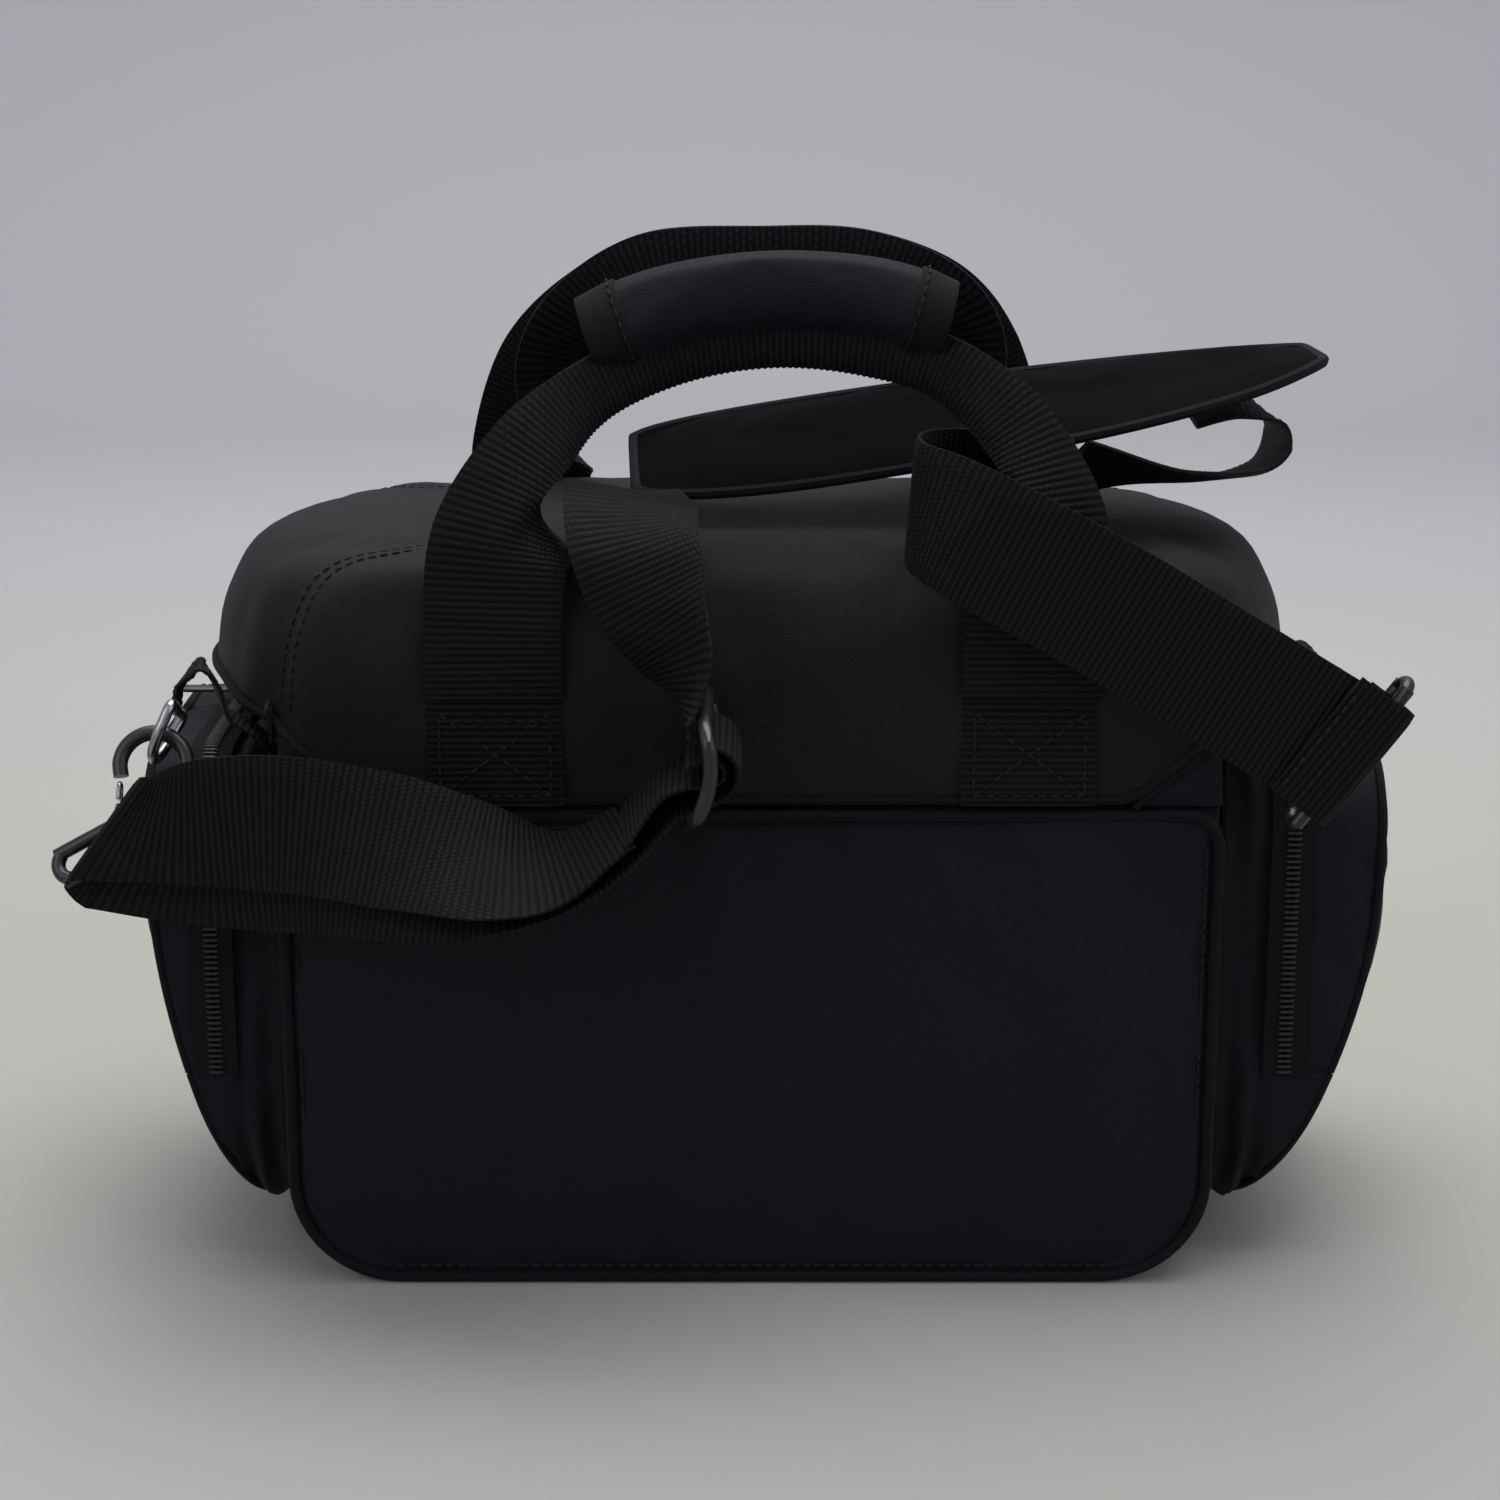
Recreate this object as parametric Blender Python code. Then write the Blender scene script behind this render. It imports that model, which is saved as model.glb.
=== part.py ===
"""Camera shoulder bag: padded body, zipped lid, three zipped pockets, two carrying handles and a shoulder strap.

Units are metres, +Z up. The origin is on the floor under the middle of the body. The back of the
bag, which rests against the wearer, faces -Y. The left side is at -X.
"""

import math

import bmesh
import bpy
from mathutils import Matrix, Vector

# Driving dimensions
BODY_HALF_WIDTH = 0.134
BODY_HALF_DEPTH = 0.075
BODY_CORNER_RADIUS = 0.032
PANEL_THICKNESS = 0.008
GUSSET_THICKNESS = 0.005
SEAM_HEIGHT = 0.145
CORNER_HEIGHT = 0.166
RIM_HEIGHT = 0.172
SEAM_HALF_LENGTH = 0.108
LID_TOP = 0.213
LID_BULGE = 0.026
LID_WALL = 0.005
WEBBING_WIDTH = 0.038
WEBBING_THICKNESS = 0.0024
POCKET_WALL = 0.003
ZIP_OFFSET = 0.022
GAP = 0.0003

# Where the handles are sewn on
HANDLE_LEFT = -0.071
HANDLE_RIGHT = 0.078
ANCHOR_TOP = 0.176

# Colours, linear
BLACK_NYLON = (0.012, 0.012, 0.015)
BLACK_WEBBING = (0.016, 0.016, 0.019)
BLACK_PLASTIC = (0.008, 0.008, 0.009)
STEEL = (0.55, 0.56, 0.58)
GREY_LINING = (0.06, 0.06, 0.065)


def clear_scene():
    for old in list(bpy.data.objects):
        bpy.data.objects.remove(old)


def material(name, colour, roughness, metallic=0.0):
    found = bpy.data.materials.get(name)
    if found:
        return found
    made = bpy.data.materials.new(name)
    made.use_nodes = True
    shader = made.node_tree.nodes["Principled BSDF"]
    shader.inputs["Base Color"].default_value = (*colour, 1.0)
    shader.inputs["Roughness"].default_value = roughness
    shader.inputs["Metallic"].default_value = metallic
    return made


def nylon():
    return material("black_nylon", BLACK_NYLON, 0.75)


def webbing():
    return material("black_webbing", BLACK_WEBBING, 0.7)


def plastic():
    return material("black_plastic", BLACK_PLASTIC, 0.35)


def steel():
    return material("bright_steel", STEEL, 0.25, 1.0)


def lining():
    return material("grey_lining", GREY_LINING, 0.85)


def place(obj, pivot):
    """Moves the object's origin to the pivot, leaving its shape where it is."""
    pivot = Vector(pivot)
    obj.data.transform(Matrix.Translation(-pivot))
    obj.location = pivot
    return obj


def add_mesh(name, points, faces, finish, pivot=(0, 0, 0)):
    mesh = bpy.data.meshes.new(name)
    mesh.from_pydata([tuple(p) for p in points], [], faces)
    shape = bmesh.new()
    shape.from_mesh(mesh)
    bmesh.ops.recalc_face_normals(shape, faces=shape.faces)
    shape.to_mesh(mesh)
    shape.free()
    mesh.materials.append(finish)
    mesh.shade_smooth()
    mesh.set_sharp_from_angle(angle=math.radians(35))
    obj = bpy.data.objects.new(name, mesh)
    bpy.context.scene.collection.objects.link(obj)
    return place(obj, pivot)


def loft(name, rings, finish, pivot=(0, 0, 0), cyclic=False, strap=False):
    """A closed solid through rings of equal count, with a cap at each end unless the rings are cyclic.

    A strap has rings of four points. Its two broad faces are split along matching diagonals, so that it
    keeps its thickness where it twists.
    """
    count = len(rings[0])
    points = [p for ring in rings for p in ring]
    faces = []
    if not cyclic:
        faces = [list(range(count)), list(range(len(points) - count, len(points)))]
    for r in range(len(rings) if cyclic else len(rings) - 1):
        start = r * count
        after = (r + 1) % len(rings) * count
        for i in range(count):
            j = (i + 1) % count
            quad = [start + i, start + j, after + j, after + i]
            if not strap:
                faces.append(quad)
            elif i < 2:
                faces += [quad[:3], [quad[0], quad[2], quad[3]]]
            else:
                faces += [[quad[0], quad[1], quad[3]], quad[1:]]
    return add_mesh(name, points, faces, finish, pivot)


def prism(name, outline, place_point, low, high, finish, pivot=(0, 0, 0)):
    """An outline of (a, b) pairs, pushed from low to high. place_point(a, b, c) makes the 3-D point."""
    rings = [[place_point(a, b, c) for a, b in outline] for c in (low, high)]
    return loft(name, rings, finish, pivot)


def box(name, low, high, finish, pivot=(0, 0, 0)):
    outline = [(low[0], low[1]), (high[0], low[1]), (high[0], high[1]), (low[0], high[1])]
    return prism(name, outline, lambda a, b, c: (a, b, c), low[2], high[2], finish, pivot)


def arc(centre, radius, start, end, steps):
    """Points on an arc, from start to end in degrees."""
    made = []
    for i in range(steps + 1):
        angle = math.radians(start + (end - start) * i / steps)
        made.append((centre[0] + radius * math.cos(angle), centre[1] + radius * math.sin(angle)))
    return made


def smooth_path(points, steps):
    """A Catmull-Rom curve through the points, with this many steps in each stretch."""
    made = []
    padded = [points[0] * 2 - points[1], *points, points[-1] * 2 - points[-2]]
    for i in range(1, len(padded) - 2):
        before, start, end, after = padded[i - 1 : i + 3]
        for k in range(steps):
            t = k / steps
            made.append(
                0.5
                * (
                    start * 2
                    + (end - before) * t
                    + (before * 2 - start * 5 + end * 4 - after) * t**2
                    + (start * 3 - before - end * 3 + after) * t**3
                )
            )
    made.append(points[-1])
    return made


def ribbon(name, stations, finish, steps=3, pivot=(0, 0, 0)):
    """A strap through stations of (centre, half-width vector, thickness)."""
    centres = smooth_path([Vector(s[0]) for s in stations], steps)
    halves = smooth_path([Vector(s[1]) for s in stations], steps)
    depths = smooth_path([Vector((s[2], 0, 0)) for s in stations], steps)
    rings = []
    for i, centre in enumerate(centres):
        ahead = centres[min(i + 1, len(centres) - 1)] - centres[max(i - 1, 0)]
        half = halves[i] - ahead.normalized() * halves[i].dot(ahead.normalized())
        normal = ahead.cross(half).normalized() * depths[i].x / 2
        rings.append(
            [centre - half - normal, centre + half - normal, centre + half + normal, centre - half + normal]
        )
    return loft(name, rings, finish, pivot, strap=True)


def rod(name, points, radius, finish, normal, cyclic=False, sides=8, pivot=(0, 0, 0)):
    """A round rod along points in a plane with this normal: a ring if cyclic, else with flat ends."""
    points = [Vector(p) for p in points]
    normal = Vector(normal)
    last = len(points) - 1
    rings = []
    for i, centre in enumerate(points):
        before = points[i - 1] if cyclic else points[max(i - 1, 0)]
        after = points[(i + 1) % len(points)] if cyclic else points[min(i + 1, last)]
        ahead = (after - before).normalized()
        side = (normal - ahead * normal.dot(ahead)).normalized()
        other = ahead.cross(side)
        ring = []
        for k in range(sides):
            angle = 2 * math.pi * (k + 0.5) / sides
            ring.append(centre + (side * math.cos(angle) + other * math.sin(angle)) * radius)
        rings.append(ring)
    return loft(name, rings, finish, pivot, cyclic)


# The body: a U-shaped gusset between two rounded panels, with a stiff base and dividers inside


def panel_outline(top):
    """The body's outline from its left top corner, round the bottom and up. top lists the top edge's points."""
    side = BODY_HALF_WIDTH
    radius = BODY_CORNER_RADIUS
    left = arc((-side + radius, radius), radius, 180, 270, 6)
    right = arc((side - radius, radius), radius, 270, 360, 6)
    return left + right + top


def build_panels():
    edge = BODY_HALF_DEPTH
    back_top = [
        (BODY_HALF_WIDTH, CORNER_HEIGHT),
        (SEAM_HALF_LENGTH, SEAM_HEIGHT),
        (-SEAM_HALF_LENGTH, SEAM_HEIGHT),
        (-BODY_HALF_WIDTH, CORNER_HEIGHT),
    ]
    front_top = [(BODY_HALF_WIDTH, RIM_HEIGHT), (-BODY_HALF_WIDTH, RIM_HEIGHT)]

    def upright(a, b, c):
        return (a, c, b)

    prism("back_panel", panel_outline(back_top), upright, -edge, -edge + PANEL_THICKNESS, nylon())
    prism("front_panel", panel_outline(front_top), upright, edge - PANEL_THICKNESS, edge, nylon())


def gusset_ring(depth, top):
    """The U-shaped section of the gusset at one depth: down the outside, and back up the inside."""
    outer = panel_outline([])
    inset = GUSSET_THICKNESS
    radius = BODY_CORNER_RADIUS - inset
    side = BODY_HALF_WIDTH - inset
    right = arc((side - radius, radius + inset), radius, 360, 270, 6)
    left = arc((-side + radius, radius + inset), radius, 270, 180, 6)
    outline = [(-BODY_HALF_WIDTH, top), *outer, (BODY_HALF_WIDTH, top), (side, top), *right, *left, (-side, top)]
    return [(x, depth, z) for x, z in outline]


def build_gusset():
    inner_edge = BODY_HALF_DEPTH - PANEL_THICKNESS - GAP
    rise_end = -0.040
    rings = [
        gusset_ring(-inner_edge, CORNER_HEIGHT - GAP),
        gusset_ring(rise_end, RIM_HEIGHT - GAP),
        gusset_ring(inner_edge, RIM_HEIGHT - GAP),
    ]
    loft("body_gusset", rings, nylon())


def build_interior():
    board_half_width = 0.092
    board_top = 0.0078
    inside = BODY_HALF_DEPTH - PANEL_THICKNESS - 2 * GAP
    floor = GUSSET_THICKNESS + GAP
    box("base_board", (-board_half_width, -inside, floor), (board_half_width, inside, board_top), plastic())
    divider_half_thickness = 0.004
    divider_top = 0.125
    for side, centre in (("left", -0.046), ("right", 0.046)):
        box(
            f"{side}_divider",
            (centre - divider_half_thickness, -inside, board_top + GAP),
            (centre + divider_half_thickness, inside, divider_top),
            lining(),
        )


# The lid: a padded dome with an open underside, hinged along the back seam


def lid_outline():
    """The lid's lower edge in plan, anticlockwise from the back left, with sides that bulge."""
    corner = 0.012
    side = BODY_HALF_WIDTH
    half_depth = BODY_HALF_DEPTH
    back = [(-side + corner, -half_depth), (-SEAM_HALF_LENGTH, -half_depth), (-0.054, -half_depth)]
    back += [(-x, y) for x, y in reversed(back)]
    corner_points = arc((side - corner, -half_depth + corner), corner, -90, -20, 3)[1:]
    steps = 8
    flank = []
    for i in range(1, steps):
        y = (-1 + 2 * i / steps) * (half_depth - corner)
        flank.append((side + LID_BULGE * math.cos(y / half_depth * math.pi / 2), y))
    right = corner_points + flank + [(x, -y) for x, y in reversed(corner_points)]
    front = [(-x, -y) for x, y in back]
    left = [(-x, -y) for x, y in right]
    return back + right + front + left


def lid_edge_height(x, y):
    """How high the lid's lower edge is at a point of its outline."""
    if y <= -BODY_HALF_DEPTH + 1e-6:
        share = max(0.0, abs(x) - SEAM_HALF_LENGTH) / (BODY_HALF_WIDTH - SEAM_HALF_LENGTH)
        return SEAM_HEIGHT + (CORNER_HEIGHT - SEAM_HEIGHT) * share
    rise = min(1.0, (y + BODY_HALF_DEPTH) / 0.035)
    return CORNER_HEIGHT + (RIM_HEIGHT - CORNER_HEIGHT) * rise


# Height of each row of the lid, with its shrink in width and in depth
LID_ROWS = (
    (0.186, 0.985, 1.0),
    (0.198, 0.958, 0.99),
    (0.206, 0.932, 0.955),
    (0.211, 0.885, 0.90),
    (LID_TOP, 0.80, 0.80),
)


def build_lid():
    outline = lid_outline()
    outer = [[(x, y, lid_edge_height(x, y) + GAP) for x, y in outline]]
    outer += [[(x * wide, y * deep, z) for x, y in outline] for z, wide, deep in LID_ROWS]
    wide_wall = 1 - LID_WALL / (BODY_HALF_WIDTH + LID_BULGE)
    deep_wall = 1 - LID_WALL / BODY_HALF_DEPTH
    inner = [[(x * wide_wall, y * deep_wall, z) for x, y, z in outer[0]]]
    for ring in outer[1:]:
        inner.append([(x * wide_wall, y * deep_wall, z - LID_WALL) for x, y, z in ring])
    hinge = (0, -BODY_HALF_DEPTH, SEAM_HEIGHT)
    loft("lid_shell", list(reversed(inner)) + outer, nylon(), hinge)


# The pockets: hollow pouches, each cut in two at its zip


def pocket_outline(half_width, low, high, low_radius, high_radius):
    """A pocket's outline against the bag's wall, as (across, height) pairs."""
    made = arc((-half_width + low_radius, low + low_radius), low_radius, 180, 270, 5)
    made += arc((half_width - low_radius, low + low_radius), low_radius, 270, 360, 5)
    made += arc((half_width - high_radius, high - high_radius), high_radius, 0, 90, 3)
    made += arc((-half_width + high_radius, high - high_radius), high_radius, 90, 180, 3)
    return made


def pocket_rings(outline, depth_at, wall):
    """Rings from the inside of the outer face, out to the rim at the wall, and over the outside."""
    centre_height = (min(z for _, z in outline) + max(z for _, z in outline)) / 2
    half_width = max(a for a, _ in outline)
    half_height = max(z for _, z in outline) - centre_height

    def ring(share, shrink, inset):
        across = shrink * (1 - inset / half_width)
        tall = shrink * (1 - inset / half_height)
        made = []
        for a, z in outline:
            height = centre_height + (z - centre_height) * tall
            made.append((a * across, height, max(depth_at(height) * share - inset, 0.0)))
        return made

    profile = ((0.80, 1.0), (0.95, 0.975), (1.02, 0.91), (1.07, 0.62), (1.09, 0.25))
    outer = [ring(0.0, 1.0, 0.0)] + [ring(share, shrink, 0.0) for share, shrink in profile]
    inner = [ring(0.0, 1.0, wall)] + [ring(share, shrink, wall) for share, shrink in profile]
    return list(reversed(inner)) + outer


def cut(obj, cutter, operation):
    modifier = obj.modifiers.new(operation.lower(), "BOOLEAN")
    modifier.operation = operation
    modifier.object = cutter
    modifier.solver = "EXACT"
    cutter.hide_render = True
    cutter.display_type = "WIRE"


def side_pocket_depth(height, most):
    """How far a side pocket stands out at one height: most near its top, least at its foot."""
    low, peak, least = 0.012, 0.122, 0.012
    share = min(1.0, max(0.0, (height - low) / (peak - low)))
    return least + (most - least) * math.sin(share * math.pi / 2) ** 0.8


def front_pocket_depth(height):
    low, peak, most, least = 0.012, 0.070, 0.032, 0.012
    share = min(1.0, max(0.0, (height - low) / (peak - low)))
    return least + (most - least) * math.sin(share * math.pi / 2)


def build_pocket(side, outline, depth_at, place_point, cover_low, zip_depth, hinge):
    """One pocket: a pouch sewn to the wall, and a cover that hinges down at cover_low."""
    rings = [[place_point(*p) for p in ring] for ring in pocket_rings(outline, depth_at, POCKET_WALL)]
    far = 0.08
    wide = 0.15
    high = 0.20
    cover = loft(f"{side}_pocket_cover", rings, nylon())
    pouch = loft(f"{side}_pocket_pouch", rings, nylon())
    for owner, gap, operation in ((cover, GAP, "INTERSECT"), (pouch, 0.0, "DIFFERENCE")):
        corners = [(-wide, cover_low + gap), (wide, cover_low + gap), (wide, high), (-wide, high)]
        cutter = prism(
            f"{owner.name}_cutter",
            corners,
            place_point,
            zip_depth + gap,
            far,
            nylon(),
        )
        cut(owner, cutter, operation)
    place(cover, hinge)


SIDE_POCKET_COVER_LOW = 0.058
FRONT_POCKET_COVER_LOW = 0.046
FRONT_ZIP_OFFSET = 0.016


def build_pockets():
    side_outline = pocket_outline(0.058, 0.007, 0.152, 0.042, 0.022)
    wall = BODY_HALF_WIDTH + GAP
    for side, sign, most, hinge_x in (("left", -1, 0.041, -0.1690), ("right", 1, 0.050, 0.1755)):
        build_pocket(
            side,
            side_outline,
            lambda height, most=most: side_pocket_depth(height, most),
            lambda a, z, c, sign=sign: (sign * (wall + c), a, z),
            SIDE_POCKET_COVER_LOW,
            ZIP_OFFSET,
            (hinge_x, 0, SIDE_POCKET_COVER_LOW),
        )
    front_outline = pocket_outline(0.108, 0.012, 0.132, 0.036, 0.018)
    front_wall = BODY_HALF_DEPTH + GAP
    build_pocket(
        "front",
        front_outline,
        front_pocket_depth,
        lambda a, z, c: (a, front_wall + c, z),
        FRONT_POCKET_COVER_LOW,
        FRONT_ZIP_OFFSET,
        (0, 0.1060, FRONT_POCKET_COVER_LOW),
    )


# Zip sliders: a body that runs on the teeth, and a pull tab that swings on it


def build_zip_slider(name, centre, outward, upward):
    """A zip slider at a point on the teeth. outward is away from the bag, upward is away from its tab."""
    outward, upward = Vector(outward), Vector(upward)
    along = outward.cross(upward)
    body_depth, body_half_width, body_half_height = 0.004, 0.0045, 0.005

    def block(out_low, out_high, half_wide, low, high):
        rings = []
        for depth in (out_low, out_high):
            ring = []
            for a, b in ((-half_wide, low), (half_wide, low), (half_wide, high), (-half_wide, high)):
                ring.append(Vector(centre) + outward * depth + along * a + upward * b)
            rings.append(ring)
        return rings

    body = block(GAP, body_depth, body_half_width, -body_half_height, body_half_height)
    loft(f"{name}_slider", body, plastic(), centre)
    tab_low, tab_high, tab_half_width = -0.024, 0.0008, 0.003
    pivot = Vector(centre) + outward * (body_depth + 0.0014)
    tab = block(body_depth + 0.0005, body_depth + 0.0023, tab_half_width, tab_low, tab_high)
    loft(f"{name}_pull_tab", tab, webbing(), pivot)


def build_zip_sliders():
    lid_zip_x = 0.014
    front = BODY_HALF_DEPTH
    for side, sign in (("left", -1), ("right", 1)):
        build_zip_slider(f"lid_zip_{side}", (sign * lid_zip_x, front, RIM_HEIGHT), (0, 1, 0), (0, 0, 1))
    top = 0.152
    for side, sign in (("left", -1), ("right", 1)):
        x = sign * (BODY_HALF_WIDTH + GAP + ZIP_OFFSET - 0.0045)
        build_zip_slider(f"{side}_pocket_zip", (x, 0.012, top), (0, 0, 1), (-sign, 0, 0))
    y = BODY_HALF_DEPTH + GAP + FRONT_ZIP_OFFSET - 0.0045
    build_zip_slider("front_pocket_zip", (0, y, 0.132), (0, 0, 1), (0, -1, 0))


# Carrying handles: sewn ends, and a loop of webbing that swings on them


def build_handle_anchors(side, face, sign):
    """The two sewn ends of one handle, on the wall at y = face, which faces sign."""
    half = WEBBING_WIDTH / 2
    near = face + sign * GAP
    far = near + sign * 0.0018
    for end, centre in (("left", HANDLE_LEFT), ("right", HANDLE_RIGHT)):
        low = SEAM_HEIGHT + GAP if sign < 0 else 0.136
        high = ANCHOR_TOP if sign < 0 else RIM_HEIGHT - GAP
        box(
            f"{side}_handle_{end}_anchor",
            (centre - half, min(near, far), low),
            (centre + half, max(near, far), high),
            webbing(),
        )


FLAT = WEBBING_WIDTH / 2
BACK_HANDLE = (
    ((HANDLE_LEFT, -0.0780, 0.1768), (-FLAT, 0, 0), 0.0024),
    ((HANDLE_LEFT, -0.0790, 0.198), (-FLAT, 0, 0), 0.0024),
    ((-0.069, -0.0770, 0.222), (-0.0160, 0, 0.004), 0.003),
    ((-0.060, -0.066, 0.243), (-0.0085, 0, 0.0075), 0.004),
    ((-0.046, -0.049, 0.2560), (-0.0045, 0, 0.0085), 0.0045),
    ((-0.022, -0.034, 0.2645), (-0.002, 0, 0.0095), 0.005),
    ((0.006, -0.030, 0.268), (0, 0, 0.009), 0.005),
    ((0.034, -0.034, 0.2665), (0.002, 0, 0.0090), 0.005),
    ((0.057, -0.046, 0.2615), (0.0045, 0, 0.0075), 0.004),
    ((0.073, -0.061, 0.248), (0.0090, 0, 0.0070), 0.0035),
    ((0.079, -0.0745, 0.226), (0.0185, 0, 0.003), 0.003),
    ((HANDLE_RIGHT, -0.0790, 0.200), (FLAT, 0, 0), 0.0024),
    ((HANDLE_RIGHT, -0.0780, 0.1768), (FLAT, 0, 0), 0.0024),
)
FRONT_HANDLE = (
    ((HANDLE_LEFT, 0.0785, 0.1728), (-FLAT, 0, 0), 0.0024),
    ((HANDLE_LEFT, 0.0800, 0.197), (-FLAT, 0, 0), 0.0024),
    ((-0.071, 0.0765, 0.220), (-0.018, 0, 0.006), 0.0024),
    ((-0.064, 0.062, 0.247), (-0.014, 0, 0.0105), 0.003),
    ((-0.050, 0.041, 0.269), (-0.008, 0, 0.0105), 0.004),
    ((-0.030, 0.027, 0.284), (-0.002, 0, 0.0105), 0.005),
    ((0.004, 0.022, 0.287), (0, 0, 0.010), 0.005),
    ((0.034, 0.025, 0.285), (0.002, 0, 0.0105), 0.005),
    ((0.057, 0.038, 0.273), (0.008, 0, 0.0105), 0.004),
    ((0.069, 0.058, 0.252), (0.014, 0, 0.0105), 0.003),
    ((0.0765, 0.0765, 0.222), (0.018, 0, 0.006), 0.0024),
    ((HANDLE_RIGHT, 0.0800, 0.197), (FLAT, 0, 0), 0.0024),
    ((HANDLE_RIGHT, 0.0785, 0.1728), (FLAT, 0, 0), 0.0024),
)
# The padded grip lies on the webbing's upper edge
GRIP_LINE = (
    (-0.046, -0.038, 0.2765),
    (-0.022, -0.033, 0.2835),
    (0.006, -0.030, 0.2865),
    (0.034, -0.032, 0.285),
    (0.056, -0.038, 0.2805),
)
GRIP_HALF_HEIGHT = 0.0085
GRIP_HALF_DEPTH = 0.0095


def build_grip():
    line = smooth_path([Vector(p) for p in GRIP_LINE], 3)
    sides = 12
    rings = []
    for i, centre in enumerate(line):
        ahead = (line[min(i + 1, len(line) - 1)] - line[max(i - 1, 0)]).normalized()
        across = Vector((0, 1, 0))
        up = ahead.cross(across) * -1
        ring = []
        for k in range(sides):
            angle = 2 * math.pi * k / sides
            reach = across * math.cos(angle) * GRIP_HALF_DEPTH + up * math.sin(angle) * GRIP_HALF_HEIGHT
            ring.append(centre + reach)
        rings.append(ring)
    loft("handle_grip", rings, nylon(), BACK_HANDLE_PIVOT)


BACK_HANDLE_PIVOT = (0, -0.0790, ANCHOR_TOP)
FRONT_HANDLE_PIVOT = (0, 0.0790, RIM_HEIGHT)


def build_handles():
    build_handle_anchors("back", -BODY_HALF_DEPTH, -1)
    build_handle_anchors("front", BODY_HALF_DEPTH, 1)
    ribbon("back_handle", BACK_HANDLE, webbing(), 2, BACK_HANDLE_PIVOT)
    ribbon("front_handle", FRONT_HANDLE, webbing(), 2, FRONT_HANDLE_PIVOT)
    build_grip()


# The shoulder strap: a padded rest on the lid, webbing down to a hook at each side, and an adjuster

HALF = WEBBING_WIDTH / 2
ADJUSTER = Vector((-0.0135, -0.1020, 0.1665))

# From the adjuster back to the left hook, under the front run
LEFT_RETURN = (
    ((-0.0200, -0.1020, 0.1545), (0, HALF, 0.001), 0.0018),
    ((-0.0340, -0.1030, 0.1405), (0, HALF, 0.002), 0.0018),
    ((-0.0560, -0.1035, 0.1315), (0, 0.0180, 0.006), 0.0018),
    ((-0.0850, -0.1010, 0.1310), (0, 0.0125, 0.0143), 0.0018),
    ((-0.1180, -0.0945, 0.1345), (0, 0.0045, 0.0184), 0.0018),
    ((-0.1500, -0.0865, 0.1345), (0.005, -0.001, 0.0180), 0.0018),
    ((-0.1755, -0.0843, 0.1395), (0.0112, 0, 0.0150), 0.0018),
)
LEFT_FRONT = (
    ((-0.1750, -0.0920, 0.1432), (0.0112, 0, 0.0150), 0.0018),
    ((-0.1500, -0.0970, 0.1462), (0.004, 0, 0.0182), 0.0018),
    ((-0.1250, -0.1020, 0.1470), (0, 0.0025, 0.0187), 0.0018),
    ((-0.0960, -0.1065, 0.1435), (0, 0.0085, 0.0168), 0.0018),
    ((-0.0720, -0.1085, 0.1385), (0, 0.0145, 0.0120), 0.0018),
    ((-0.0520, -0.1060, 0.1370), (0, 0.0180, 0.0055), 0.0018),
    ((-0.0340, -0.1025, 0.1470), (0, HALF, 0.002), 0.0018),
    ((-0.0225, -0.1020, 0.1610), (0, HALF, 0), 0.0018),
)
# From the adjuster up over the lid's back edge to the padded rest
LEFT_RISER = (
    ((-0.0165, -0.1020, 0.1763), (0.001, -HALF, 0.001), 0.0018),
    ((-0.0195, -0.0990, 0.1920), (0.0105, -0.0150, 0.003), 0.0018),
    ((-0.0265, -0.0925, 0.2075), (0.0160, -0.0085, 0.004), 0.0018),
    ((-0.0315, -0.0835, 0.2215), (0.0180, -0.003, 0.002), 0.0018),
    ((-0.0330, -0.0660, 0.2300), (0.0185, 0.001, -0.003), 0.0018),
    ((-0.0330, -0.0480, 0.2290), (0.0170, 0.006, -0.004), 0.0018),
    ((-0.0300, -0.0360, 0.2235), (0.0130, 0.012, -0.004), 0.0018),
)
# The padded rest, from its left end on the lid to its right end in the air
PAD = (
    ((-0.034, -0.006, 0.2300), (0, -0.0240, -0.0060), 0.0075),
    ((0.006, -0.005, 0.2350), (0, -0.0260, -0.0080), 0.009),
    ((0.050, -0.004, 0.2415), (0, -0.0260, -0.0080), 0.009),
    ((0.100, -0.003, 0.2490), (0, -0.0250, -0.0065), 0.009),
    ((0.140, -0.002, 0.2560), (0, -0.0230, -0.0035), 0.008),
    ((0.166, -0.001, 0.2618), (0, -0.0185, 0), 0.006),
)
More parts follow.
